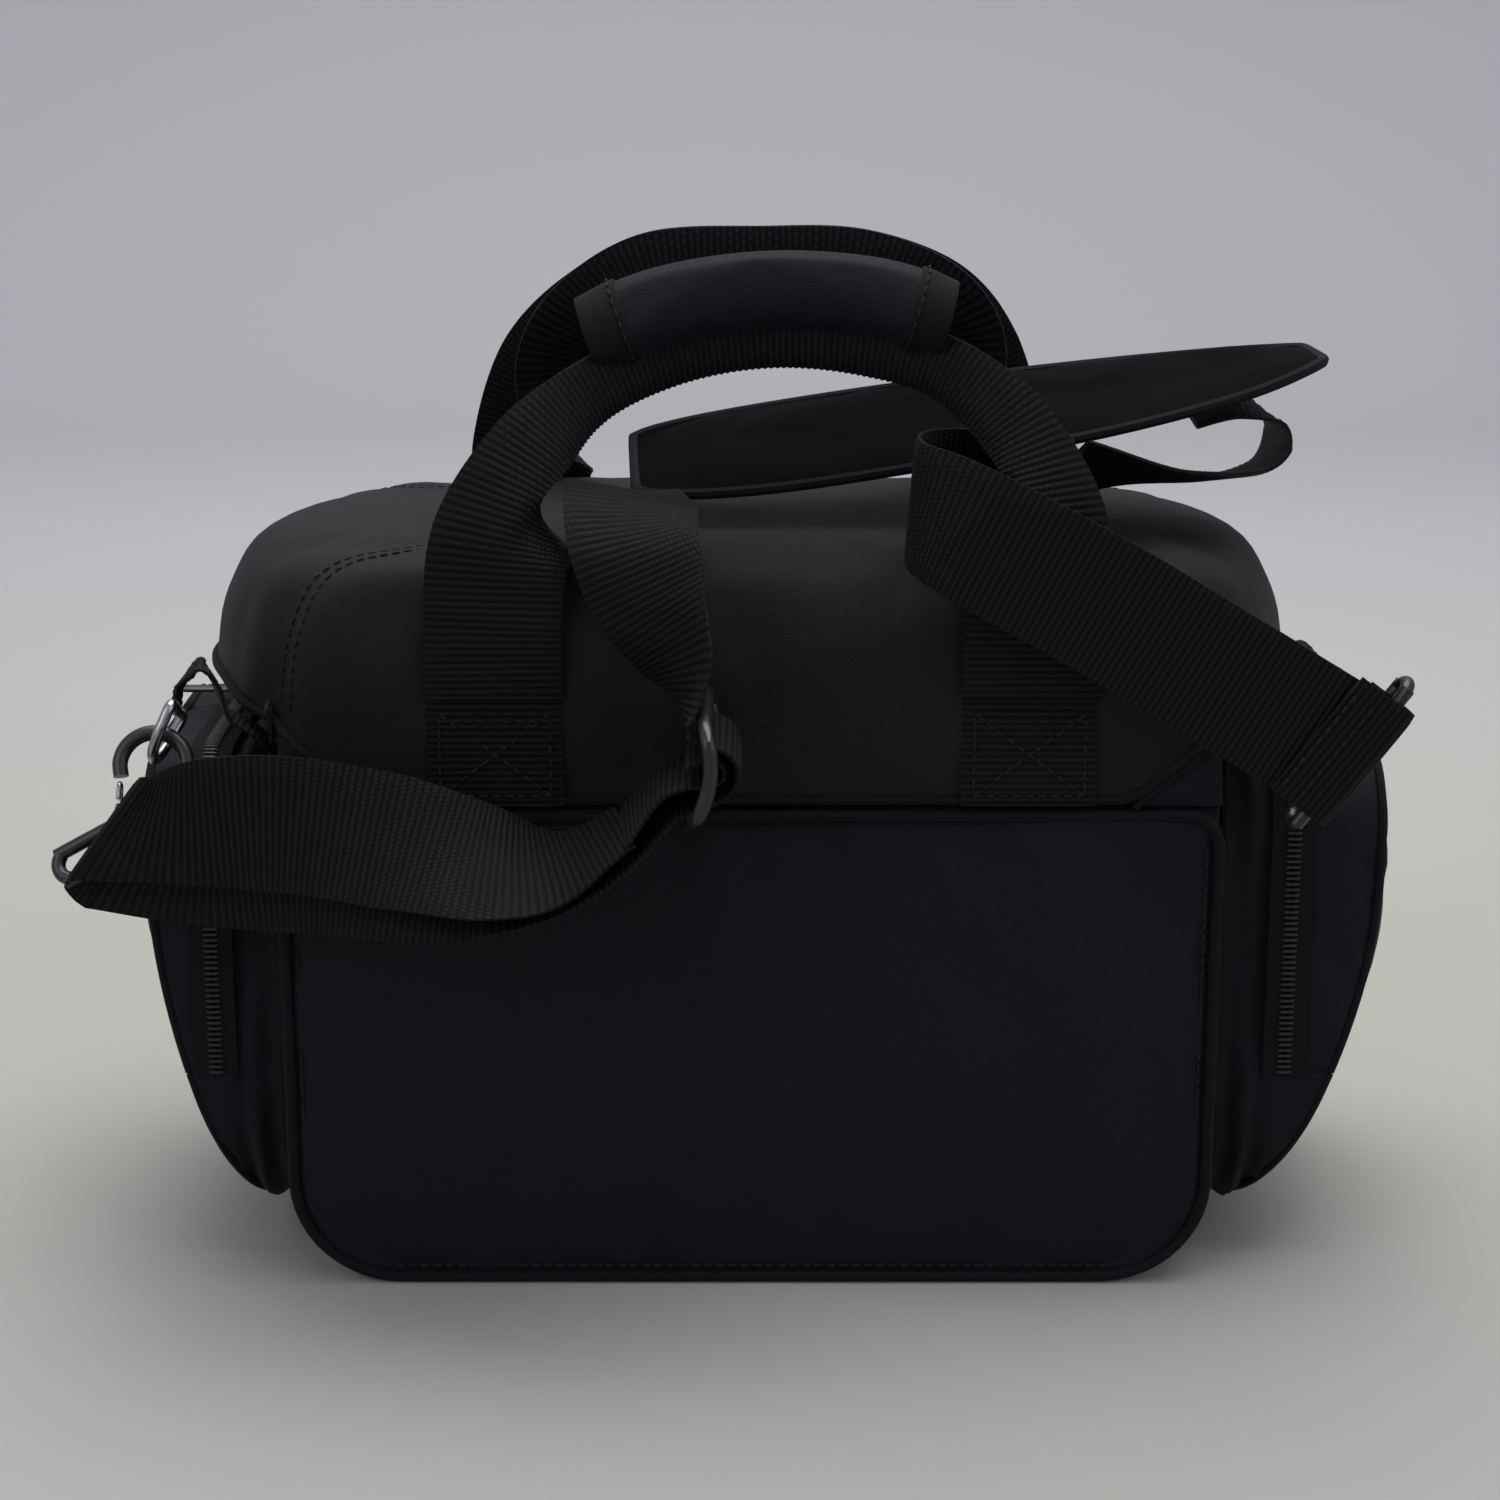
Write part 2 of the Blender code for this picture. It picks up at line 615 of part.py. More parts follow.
# From under the rest's right end, round a loop and back to the left, then round again to the right hook
RIGHT_LOOP = (
    ((0.1290, -0.004, 0.2450), (0.002, HALF, 0.002), 0.0018),
    ((0.1440, -0.004, 0.2475), (0.002, HALF, 0.001), 0.0018),
    ((0.1545, -0.005, 0.2420), (0.000, HALF, -0.002), 0.0018),
    ((0.1535, -0.007, 0.2325), (-0.002, HALF, -0.004), 0.0018),
    ((0.1410, -0.011, 0.2275), (-0.006, 0.0178, -0.004), 0.0018),
    ((0.1150, -0.020, 0.2285), (-0.0075, 0.0168, -0.005), 0.0018),
    ((0.0880, -0.034, 0.2310), (-0.0066, 0.0130, -0.0125), 0.0018),
)
RIGHT_RUN = (
    ((0.0830, -0.0362, 0.2309), (-0.0064, 0.0118, -0.0128), 0.0018),
    ((0.0640, -0.0420, 0.2315), (-0.0040, 0.0060, -0.0155), 0.0018),
    ((0.0490, -0.0550, 0.2315), (-0.0010, 0.0010, -0.0165), 0.0018),
    ((0.0450, -0.0760, 0.2310), (-0.0020, 0.0000, -0.0170), 0.0018),
    ((0.0540, -0.0890, 0.2280), (-0.0065, 0.0000, -0.0168), 0.0018),
    ((0.0720, -0.0945, 0.2190), (-0.0095, 0.0000, -0.0160), 0.0018),
    ((0.0950, -0.0950, 0.2065), (-0.0105, 0.0000, -0.0156), 0.0018),
    ((0.1250, -0.0955, 0.1885), (-0.0110, 0.0000, -0.0153), 0.0018),
    ((0.1565, -0.0960, 0.1700), (-0.0114, 0.0000, -0.0150), 0.0018),
)


def build_adjuster():
    """A three-bar slide, seen on edge: a bowed frame, and the loose bar the webbing turns round."""
    length_half, height_half, thick = 0.0235, 0.0135, 0.0021
    along = Vector((0, 1, 0))
    up = Vector((0.12, 0, 0.99)).normalized()
    out = up.cross(along)
    bow = 0.003
    frame = []
    for k in range(20):
        angle = 2 * math.pi * k / 20
        a = max(-1.0, min(1.0, 1.25 * math.cos(angle)))
        b = max(-1.0, min(1.0, 1.25 * math.sin(angle)))
        centre = ADJUSTER + along * a * length_half + up * b * height_half
        frame.append(centre - out * bow * (1 - b * b))
    rod("strap_adjuster", frame, thick, plastic(), out, cyclic=True, pivot=ADJUSTER)
    reach = length_half - thick - GAP * 2
    middle = ADJUSTER - out * bow
    rod("strap_adjuster_bar", [middle - along * reach, middle + along * reach], 0.0016, plastic(), out)


def stadium(centre, along, up, half_length, half_height, steps):
    """Points round a slot-shaped loop."""
    made = []
    for sign in (1, -1):
        for k in range(steps + 1):
            angle = math.radians(-90 + 180 * k / steps)
            reach = along * (half_length + half_height * math.cos(angle))
            made.append(centre + (reach + up * half_height * math.sin(angle)) * sign)
    return made


# Each side's strap end: where the webbing's bar is, how it lies, and which way its hook points
FRAME_ROD = 0.0020
SLOT_HALF_HEIGHT = 0.0042
HOOK_ROD = 0.0022
HOOK_RADIUS = 0.0095
HOLE_HEIGHT = 0.017
RING_ROD = 0.0016
RING_REACH = 0.0150
RING_HALF_WIDTH = 0.0080
STRAP_ENDS = {
    "left": {
        "sign": -1,
        "bar": Vector((-0.1752, -0.0885, 0.1427)),
        "hook_up": Vector((0.10, 0.45, 0.89)),
        "gate_side": Vector((-1, 0, 0)),
        "hole_shift": -0.003,
        "ring_bar": Vector((-0.1622, -0.0620, 0.1690)),
        "ring_along": Vector((0, -0.893, 0.45)),
        "ring_out": Vector((-0.40, -0.45, -0.80)),
    },
    "right": {
        "sign": 1,
        "bar": Vector((0.1644, -0.0940, 0.1640)),
        "hook_up": Vector((0, 0.97, -0.25)),
        "gate_side": Vector((0, -0.25, -0.97)),
        "hole_shift": 0.0,
        "ring_bar": Vector((0.1640, -0.0620, 0.1735)),
        "ring_along": Vector((0.7, -0.7, 0)),
        "ring_out": Vector((-0.10, -0.10, -0.98)),
    },
}
BAR_ALONG = Vector((0.60, 0.0, 0.80))


def across(direction, main):
    """The part of a direction square to the main one, with length one."""
    return (direction - main * direction.dot(main)).normalized()


def ring_frame(end):
    """A D-ring's bar, the direction along its bar, and the direction it hangs in."""
    along = end["ring_along"].normalized()
    return end["ring_bar"], along, across(end["ring_out"], along)


def hook_frame(end):
    """A hook's foot, the direction it points in, the direction to its gate, and its plane's normal."""
    bar, along, out = ring_frame(end)
    up = end["hook_up"].normalized()
    lateral = across(end["gate_side"], up)
    hole = bar + out * (RING_REACH - 0.001) + up * end["hole_shift"]
    foot = hole - up * HOLE_HEIGHT
    return foot, up, lateral, up.cross(lateral)


def build_ring(side, end):
    """The D-shaped ring on the side of the bag, and the webbing tab that carries it over the seam."""
    bar, along, out = ring_frame(end)
    loop = [bar - along * RING_HALF_WIDTH, bar + along * RING_HALF_WIDTH]
    for k in range(12):
        angle = math.radians(8 + 164 * k / 11)
        straight = 0.0035
        reach = straight + (RING_REACH - straight) * math.sin(angle)
        loop.append(bar + along * math.cos(angle) * RING_HALF_WIDTH + out * reach)
    rod(f"{side}_d_ring", loop, RING_ROD, steel(), along.cross(out), cyclic=True, pivot=bar)

    sign = end["sign"]
    half = RING_HALF_WIDTH - RING_ROD - 3 * GAP
    thick = 0.0018
    wall = BODY_HALF_WIDTH + GAP + thick / 2
    above = across(Vector((0, 0, 1)), along)
    turns = (
        (Vector((sign * wall, -0.0600, 0.1500)), 0.0),
        (Vector((sign * wall, -0.0600, 0.1560)), 0.0),
        (Vector((sign * 0.1400, -0.0602, 0.1622)), 0.0),
        (Vector((sign * 0.1480, -0.0604, 0.1680)), 0.1),
        (Vector((sign * 0.1518, -0.0608, bar.z + 0.0060)), 0.2),
        (Vector((sign * 0.1565, -0.0614, bar.z + 0.0098)), 0.5),
        (bar + above * 0.0066 - Vector((sign * 0.0010, 0, 0)), 1.0),
        (bar + above * (RING_ROD + 2 * GAP), 1.0),
    )
    stations = []
    for centre, turn in turns:
        width = Vector((0, -1, 0)).lerp(along, turn).normalized() * half
        stations.append((centre, width, thick))
    ribbon(f"{side}_ring_tab", stations, webbing(), 2)


def build_hook(side, end):
    """A snap hook: a slotted frame for the webbing, a post, a curled nose and a sprung wire gate."""
    bar_centre = end["bar"]
    along = BAR_ALONG
    back = Vector((0, 1, 0))
    centre = bar_centre + back * SLOT_HALF_HEIGHT
    outline = stadium(centre, along, back, HALF + 0.0015, SLOT_HALF_HEIGHT, 5)
    rod(f"{side}_hook_frame", outline, FRAME_ROD, plastic(), along.cross(back), cyclic=True)

    foot, up, lateral, normal = hook_frame(end)
    shoulder = centre + back * SLOT_HALF_HEIGHT
    top = foot - up * 0.0016
    low = shoulder + (top - shoulder).normalized() * (FRAME_ROD + GAP * 3)
    rod(f"{side}_hook_post", [low, top], 0.0018, plastic(), along, sides=10, pivot=foot)

    height = HOOK_ROD * 1.4
    flat_points = [(0.0086, height), (0.0040, height), (-0.0030, height), (-0.0072, height + 0.0016)]
    flat_points += [(-0.0092, height + 0.0056), (-HOOK_RADIUS, height + 0.0100)]
    for k in range(9):
        angle = math.radians(180 - 205 * k / 8)
        flat_points.append((HOOK_RADIUS * math.cos(angle), HOLE_HEIGHT + HOOK_RADIUS * math.sin(angle)))
    points = smooth_path([foot + lateral * a + up * b for a, b in flat_points], 2)
    rod(f"{side}_hook_nose", points, HOOK_ROD, plastic(), normal, pivot=foot)

    wire = 0.0007
    gate_foot = foot + lateral * 0.0082 + up * (height + HOOK_ROD + wire + GAP)
    gate_rise = points[-1] - up * (HOOK_ROD * 0.5 + wire + GAP) - gate_foot
    loop = []
    for share, out in ((0, -1), (0.5, -0.8), (0.9, -0.6), (1, 0), (0.9, 0.6), (0.5, 0.8), (0, 1)):
        loop.append(gate_foot + gate_rise * share + normal * 0.0018 * out)
    rod(f"{side}_hook_gate", loop, wire, steel(), lateral, sides=6, pivot=gate_foot)


def build_strap():
    ribbon("strap_left_return", LEFT_RETURN, webbing(), 2)
    ribbon("strap_left_run", LEFT_FRONT, webbing(), 2)
    ribbon("strap_left_riser", LEFT_RISER, webbing(), 3)
    ribbon("shoulder_pad", PAD, nylon(), 2)
    ribbon("strap_right_loop", RIGHT_LOOP, webbing(), 2)
    ribbon("strap_right_run", RIGHT_RUN, webbing(), 3)
    build_adjuster()
    for side, end in STRAP_ENDS.items():
        build_ring(side, end)
        build_hook(side, end)


def main():
    clear_scene()
    build_panels()
    build_gusset()
    build_interior()
    build_lid()
    build_pockets()
    build_zip_sliders()
    build_handles()
    build_strap()


main()
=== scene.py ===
"""Looks of the camera bag: padded nylon, ribbed webbing, zips and hooks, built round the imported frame.

Metres, +Z up. The back of the bag faces -Y, towards the camera.
"""

import math

import bmesh
import bpy
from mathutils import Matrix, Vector, noise


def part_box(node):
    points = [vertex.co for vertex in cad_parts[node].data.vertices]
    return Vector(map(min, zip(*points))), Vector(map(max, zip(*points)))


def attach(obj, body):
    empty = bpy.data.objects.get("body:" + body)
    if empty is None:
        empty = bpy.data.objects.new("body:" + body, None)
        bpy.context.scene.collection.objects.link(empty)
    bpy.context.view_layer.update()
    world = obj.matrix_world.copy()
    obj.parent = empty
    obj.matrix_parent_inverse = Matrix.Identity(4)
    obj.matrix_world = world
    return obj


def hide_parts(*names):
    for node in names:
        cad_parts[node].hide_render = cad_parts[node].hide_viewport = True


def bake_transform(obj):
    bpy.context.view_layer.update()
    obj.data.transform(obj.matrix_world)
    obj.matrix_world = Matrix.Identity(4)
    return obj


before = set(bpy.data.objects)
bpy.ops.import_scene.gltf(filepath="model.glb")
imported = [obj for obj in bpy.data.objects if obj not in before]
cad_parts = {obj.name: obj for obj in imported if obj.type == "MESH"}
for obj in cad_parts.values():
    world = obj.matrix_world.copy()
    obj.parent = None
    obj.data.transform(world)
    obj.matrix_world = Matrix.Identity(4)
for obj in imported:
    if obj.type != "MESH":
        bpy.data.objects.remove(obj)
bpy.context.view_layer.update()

_, PANEL_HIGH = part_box("back_panel")
FRONT_LOW, FRONT_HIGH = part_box("front_panel")
HALF_WIDTH = PANEL_HIGH.x
HALF_DEPTH = FRONT_HIGH.y
PANEL_INSIDE = PANEL_HIGH.y
RIM_HEIGHT = FRONT_HIGH.z
CORNER_HEIGHT = PANEL_HIGH.z
CORNER_RADIUS = 0.032
SEAM_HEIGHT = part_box("lid_shell")[0].z - 0.0003
SEAM_HALF_LENGTH = 0.108
LID_CORNER = 0.012
WEBBING_HALF = 0.019
STRAP_THICK = 0.0016
HANDLE_THICK = 0.0020
ANCHOR_THICK = 0.0015
TAB_THICK = 0.0014
RIB_PITCH = 0.0019
RIB_HEIGHT = 0.00021
STITCH = 0.0026
STITCH_GAP = 0.0010
STITCH_GRID = 0.0006
THREAD_RADIUS = 0.00036
THICK_THREAD = 0.00042
TOOTH_PITCH = 0.0017
TOOTH_RADIUS = 0.00055
WALL_COLUMNS = 56
WALL_ROWS = 36
WALL_INSET = 0.0012
WALL_EDGE_ROLL = 0.009
WALL_EDGE_SINK = 0.0022
WALL_PIPING = 0.00165
GUSSET_WALL = 0.0048
LID_WALL = 0.0042
POCKET_WALL = 0.0022
GAP = 0.0003


# Materials


class Finish:
    """Builds one procedural material, node by node."""

    def __init__(self, name, roughness, metallic=0.0, specular=0.5):
        self.material = bpy.data.materials.new(name)
        self.material.use_nodes = True
        self.tree = self.material.node_tree
        self.shader = self.tree.nodes["Principled BSDF"]
        self.shader.inputs["Roughness"].default_value = roughness
        self.shader.inputs["Metallic"].default_value = metallic
        self.shader.inputs["Specular IOR Level"].default_value = specular
        self.height = None

    def feed(self, target, value):
        if isinstance(value, bpy.types.NodeSocket):
            self.tree.links.new(value, target)
        else:
            target.default_value = value

    def coordinates(self, kind):
        return self.tree.nodes.new("ShaderNodeTexCoord").outputs[kind]

    def split(self, vector):
        node = self.tree.nodes.new("ShaderNodeSeparateXYZ")
        self.feed(node.inputs[0], vector)
        return list(node.outputs)

    def math(self, operation, first, second=0.0):
        node = self.tree.nodes.new("ShaderNodeMath")
        node.operation = operation
        self.feed(node.inputs[0], first)
        self.feed(node.inputs[1], second)
        return node.outputs[0]

    def choose(self, share, first, second):
        """first where share is 0, second where it is 1."""
        change = self.math("MULTIPLY", self.math("SUBTRACT", second, first), share)
        return self.math("ADD", first, change)

    def wave(self, place, pitch, shift=0.0):
        turned = self.math("ADD", self.math("MULTIPLY", place, 2 * math.pi / pitch), shift)
        return self.math("SINE", turned)

    def noise(self, vector, scale, detail=3.0):
        node = self.tree.nodes.new("ShaderNodeTexNoise")
        self.feed(node.inputs["Vector"], vector)
        node.inputs["Scale"].default_value = scale
        node.inputs["Detail"].default_value = detail
        return node.outputs[0]

    def spread(self, value, low, high, from_low=0.0, from_high=1.0):
        node = self.tree.nodes.new("ShaderNodeMapRange")
        self.feed(node.inputs["Value"], value)
        node.inputs["From Min"].default_value = from_low
        node.inputs["From Max"].default_value = from_high
        node.inputs["To Min"].default_value = low
        node.inputs["To Max"].default_value = high
        return node.outputs["Result"]

    def colour(self, share, first, second):
        node = self.tree.nodes.new("ShaderNodeMix")
        node.data_type = "RGBA"
        self.feed(node.inputs["Factor"], share)
        node.inputs["A"].default_value = (*first, 1.0)
        node.inputs["B"].default_value = (*second, 1.0)
        self.feed(self.shader.inputs["Base Color"], node.outputs["Result"])
        return node

    def bump(self, height, distance):
        node = self.tree.nodes.new("ShaderNodeBump")
        node.inputs["Strength"].default_value = 1.0
        node.inputs["Distance"].default_value = distance
        self.feed(node.inputs["Height"], height)
        if self.height is not None:
            self.feed(node.inputs["Normal"], self.height)
        self.height = node.outputs["Normal"]
        self.feed(self.shader.inputs["Normal"], self.height)

    def sheen(self, weight, roughness, tint):
        self.shader.inputs["Sheen Weight"].default_value = weight
        self.shader.inputs["Sheen Roughness"].default_value = roughness
        self.shader.inputs["Sheen Tint"].default_value = (*tint, 1.0)


def facing_axes(finish):
    """Across and up coordinates on whichever box side a surface faces most."""
    x, y, z = finish.split(finish.coordinates("Object"))
    sizes = [finish.math("ABSOLUTE", part) for part in finish.split(finish.coordinates("Normal"))]
    side = finish.math(
        "MULTIPLY",
        finish.math("GREATER_THAN", sizes[0], sizes[1]),
        finish.math("GREATER_THAN", sizes[0], sizes[2]),
    )
    top = finish.math(
        "MULTIPLY",
        finish.math("GREATER_THAN", sizes[2], sizes[1]),
        finish.math("GREATER_THAN", sizes[2], sizes[0]),
    )
    return finish.choose(side, x, y), finish.choose(top, z, y)


def woven(name, dark, light, pitch=0.0009, roughness=0.62, sheen=0.03, specular=0.12):
    """Plain woven polyester: a fine weave, slubs along both yarns, soft creases and a dusty bloom."""
    finish = Finish(name, roughness, specular=specular)
    place = finish.coordinates("Object")
    across, up = facing_axes(finish)
    weave = finish.math("MULTIPLY", finish.wave(across, pitch), finish.wave(up, pitch))
    cloud = finish.noise(place, 26.0, 4.0)
    slub = finish.noise(place, 900.0, 2.0)
    tone = finish.math("ADD", finish.math("MULTIPLY", cloud, 0.65), finish.math("MULTIPLY", slub, 0.35))
    tone = finish.math("ADD", tone, finish.math("MULTIPLY", weave, 0.12))
    finish.colour(tone, dark, light)
    finish.feed(finish.shader.inputs["Roughness"], finish.spread(cloud, roughness - 0.08, roughness + 0.12))
    finish.bump(finish.noise(place, 34.0, 3.0), 0.0012)
    finish.bump(slub, 0.00012)
    finish.bump(weave, 0.00006)
    finish.sheen(sheen, 0.45, (0.80, 0.84, 0.92))
    return finish.material


def ribbed(name, dark, light):
    """Webbing: the ribs are in the mesh, and the yarns that cross each rib are here, with painted shade in
    the troughs between the ribs.
    """
    finish = Finish(name, 0.6, specular=0.10)
    along, across, _ = finish.split(finish.coordinates("UV"))
    row = finish.math("FLOOR", finish.math("ADD", finish.math("DIVIDE", along, RIB_PITCH), 0.5))
    yarn = finish.wave(across, 0.0013, finish.math("MULTIPLY", row, math.pi))
    # Painted shade: the colour is darkest in the troughs between the ribs and lightest on their crests, in
    # step with the ribs of the mesh.
    painted_rib_shade = finish.wave(along, RIB_PITCH, math.pi / 2)
    fuzz = finish.noise(finish.coordinates("Object"), 700.0, 2.0)
    tone = finish.spread(painted_rib_shade, -0.15, 0.75, -1.0, 1.0)
    tone = finish.math("ADD", tone, finish.math("MULTIPLY", fuzz, 0.4))
    tone = finish.math("ADD", tone, finish.math("MULTIPLY", yarn, 0.05))
    finish.colour(tone, dark, light)
    finish.feed(finish.shader.inputs["Roughness"], finish.spread(fuzz, 0.5, 0.75))
    finish.bump(fuzz, 0.00012)
    finish.bump(yarn, 0.00004)
    finish.sheen(0.02, 0.4, (0.82, 0.88, 0.90))
    return finish.material


def moulded(name, dark, light, roughness):
    """Moulded plastic with a fine grain and rubbed patches."""
    finish = Finish(name, roughness)
    place = finish.coordinates("Object")
    rub = finish.noise(place, 130.0, 4.0)
    finish.colour(rub, dark, light)
    finish.feed(finish.shader.inputs["Roughness"], finish.spread(rub, roughness - 0.10, roughness + 0.18))
    finish.bump(finish.noise(place, 2200.0, 2.0), 0.00004)
    return finish.material


def plated(name):
    """Bright plated steel with fine scratches and dull spots."""
    finish = Finish(name, 0.25, 1.0)
    place = finish.coordinates("Object")
    spot = finish.noise(place, 400.0, 3.0)
    finish.colour(spot, (0.26, 0.27, 0.28), (0.44, 0.45, 0.47))
    finish.feed(finish.shader.inputs["Roughness"], finish.spread(spot, 0.14, 0.38))
    finish.bump(finish.noise(place, 1500.0, 2.0), 0.00003)
    return finish.material


NYLON = woven("bag_nylon", (0.0038, 0.0036, 0.0062), (0.0100, 0.0096, 0.0146))
# Painted light: the lid's nylon is a lighter, greener copy of the body's, for the light from the overhead
# lamp that falls on the lid's top.
LID_NYLON_PAINTED_LIGHT = woven("lid_nylon_painted_light", (0.0046, 0.0046, 0.0066), (0.0126, 0.0132, 0.0152))
# Painted shade: the pad's nylon is a much darker copy of the body's, so that the pad looks shaded though its
# face turns up to the lamp.
PAD_NYLON_PAINTED_SHADE = woven("pad_nylon_painted_shade", (0.0012, 0.0011, 0.0018), (0.0032, 0.0030, 0.0046), specular=0.02, sheen=0.0)
BINDING = woven("binding_tape", (0.0026, 0.0026, 0.0036), (0.0070, 0.0070, 0.0088), 0.0006, 0.7, 0.02)
TAPE = woven("zip_tape", (0.0034, 0.0034, 0.0046), (0.0085, 0.0085, 0.0105), 0.0007, 0.75, 0.02)
LINING = woven("brushed_lining", (0.045, 0.046, 0.050), (0.085, 0.086, 0.092), 0.0012, 0.85, 0.20)
WEBBING = ribbed("bag_webbing", (0.0012, 0.0012, 0.0018), (0.0088, 0.0090, 0.0104))
PLASTIC = moulded("moulded_black", (0.0050, 0.0050, 0.0060), (0.0130, 0.0130, 0.0150), 0.30)
COIL = moulded("coil_teeth", (0.0040, 0.0040, 0.0050), (0.0110, 0.0110, 0.0130), 0.45)
THREAD = woven("sewing_thread", (0.0060, 0.0060, 0.0076), (0.0190, 0.0190, 0.0225), 0.0005, 0.55, 0.05)
STEEL = plated("plated_steel")


# Mesh helpers


def add_mesh(name, points, faces, finishes, smooth_below=42.0):
    mesh = bpy.data.meshes.new(name)
    mesh.from_pydata([tuple(p) for p in points], [], faces)
    shape = bmesh.new()
    shape.from_mesh(mesh)
    bmesh.ops.recalc_face_normals(shape, faces=shape.faces)
    shape.to_mesh(mesh)
    shape.free()
    for finish in finishes if isinstance(finishes, list) else [finishes]:
        mesh.materials.append(finish)
    mesh.shade_smooth()
    mesh.set_sharp_from_angle(angle=math.radians(smooth_below))
    piece = bpy.data.objects.new(name, mesh)
    bpy.context.scene.collection.objects.link(piece)
    return piece


def settle(piece, body, slot, *nodes):
    """Puts a finished piece on its body, in place of its CAD nodes. slot is not used."""
    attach(piece, body)
    if nodes:
        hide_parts(*nodes)
    return piece


def band_faces(rings, count, closed_ends=True, cyclic=False):
    """Quads between rings of count points each."""
    faces = []
    if closed_ends and not cyclic:
        faces = [list(range(count)), list(range(count * (rings - 1), count * rings))]
    for r in range(rings if cyclic else rings - 1):
        for i in range(count):
            j = (i + 1) % count
            after = (r + 1) % rings
            faces.append([r * count + i, r * count + j, after * count + j, after * count + i])
    return faces


def smooth_path(points, steps):
    """A Catmull-Rom curve through the points, with this many steps in each stretch."""
    made = []
    padded = [points[0] * 2 - points[1], *points, points[-1] * 2 - points[-2]]
    for i in range(1, len(padded) - 2):
        before, start, end, after = padded[i - 1 : i + 3]
        for k in range(steps):
            t = k / steps
            bend = (before * 2 - start * 5 + end * 4 - after) * t**2
            turn = (start * 3 - before - end * 3 + after) * t**3
            made.append((start * 2 + (end - before) * t + bend + turn) * 0.5)
    made.append(points[-1])
    return made


def path_length(points):
    return sum((b - a).length for a, b in zip(points, points[1:]))


def even_places(points, count):
    """For equal steps along a line: the stretch each falls in, its share of that and its distance."""
    lengths = [0.0]
    for a, b in zip(points, points[1:]):
        lengths.append(lengths[-1] + (b - a).length)
    k = 0
    for i in range(count + 1):
        aim = lengths[-1] * i / count
        while k < len(lengths) - 2 and lengths[k + 1] < aim:
            k += 1
        yield k, min(1.0, (aim - lengths[k]) / max(lengths[k + 1] - lengths[k], 1e-9)), aim


def resample(points, spacing, closed=False):
    """The same line with points an equal distance apart."""
    points = [Vector(p) for p in points]
    if closed:
        points.append(points[0])
    count = max(2, round(path_length(points) / spacing))
    made = [points[k].lerp(points[k + 1], share) for k, share, _ in even_places(points, count)]
    return made[:-1] if closed else made


def heading(line, i, cyclic=False):
    """The direction of a line of points at its i-th point."""
    if cyclic:
        return (line[(i + 1) % len(line)] - line[i - 1]).normalized()
    return (line[min(i + 1, len(line) - 1)] - line[max(i - 1, 0)]).normalized()


def arc(centre, radius, start, end, steps):
    """Points of a circle between two angles in degrees, as pairs."""
    made = []
    for i in range(steps + 1):
        angle = math.radians(start + (end - start) * i / steps)
        made.append((centre[0] + radius * math.cos(angle), centre[1] + radius * math.sin(angle)))
    return made


def ring(centre, side, other, radius, sides):
    """Points round a centre, in the plane of two directions."""
    made = []
    for k in range(sides):
        angle = 2 * math.pi * k / sides
        made.append(centre + (side * math.cos(angle) + other * math.sin(angle)) * radius)
    return made


def tube(name, line, radius, finish, sides=10, cyclic=False):
    """A round rod along a line of points, with a frame carried along it without twist."""
    line = [Vector(p) for p in line]
    points = []
    side = None
    for i, centre in enumerate(line):
        ahead = heading(line, i, cyclic)
        if side is None:
            side = ahead.orthogonal()
        side = (side - ahead * side.dot(ahead)).normalized()
        points += ring(centre, side, ahead.cross(side), radius, sides)
    return add_mesh(name, points, band_faces(len(line), sides, True, cyclic), finish)


def inflate(piece, sewn, pressure, reach, slack=0.0, frames=16):
    """Puffs a soft piece up with a cloth simulation and keeps the result as its mesh.

    sewn lists the vertices held in place, reach is the most that any other vertex moves, and slack is
    how much larger the cloth is than its space, as a share.
    """
    mesh = piece.data
    rest = [v.co.copy() for v in mesh.vertices]
    piece.vertex_groups.new(name="sewn").add(sewn, 1.0, "REPLACE")
    cloth = piece.modifiers.new("cloth", "CLOTH")
    settings = cloth.settings
    settings.quality = 4
    settings.mass = 0.25
    settings.tension_stiffness = 15.0
    settings.compression_stiffness = 15.0
    settings.bending_stiffness = 0.6
    settings.vertex_group_mass = "sewn"
    settings.use_pressure = True
    settings.uniform_pressure_force = pressure
    settings.shrink_min = -slack
    settings.effector_weights.gravity = 0.0
    cloth.collision_settings.use_collision = False
    cloth.point_cache.frame_end = frames
    scene = bpy.context.scene
    for step in range(1, frames + 1):
        scene.frame_set(step)
    puffed = piece.evaluated_get(bpy.context.evaluated_depsgraph_get()).data
    moved = [v.co.copy() for v in puffed.vertices]
    piece.modifiers.remove(cloth)
    piece.vertex_groups.clear()
    scene.frame_set(1)
    for vertex, start, end in zip(mesh.vertices, rest, moved):
        travel = end - start
        if travel.length > 1e-9:
            vertex.co = start + travel.normalized() * reach * (1 - math.exp(-travel.length / reach))
    mesh.update()


def thicken(piece, wall):
    """Gives a skin its thickness, inwards, with the second material on its inside."""
    skin = piece.modifiers.new("wall", "SOLIDIFY")
    skin.thickness = wall
    skin.offset = -1.0
    skin.use_rim = True
    skin.material_offset = 1


def finer(piece):
    modifier = piece.modifiers.new("finer", "SUBSURF")
    modifier.levels = 1
    modifier.render_levels = 1
    return piece


def bevelled(piece, width):
    bevel = piece.modifiers.new("edge", "BEVEL")
    bevel.width = width
    bevel.segments = 2
    bevel.limit_method = "ANGLE"
    return piece


def add_bar(points, faces, ends, side, other, profile):
    """Adds a short rod between two ends. profile gives its radius at shares of its length."""
    base = len(points)
    for share, radius in profile:
        points += ring(ends[0].lerp(ends[1], share), side, other, radius, 6)
    faces += [[base + i for i in face] for face in band_faces(len(profile), 6)]


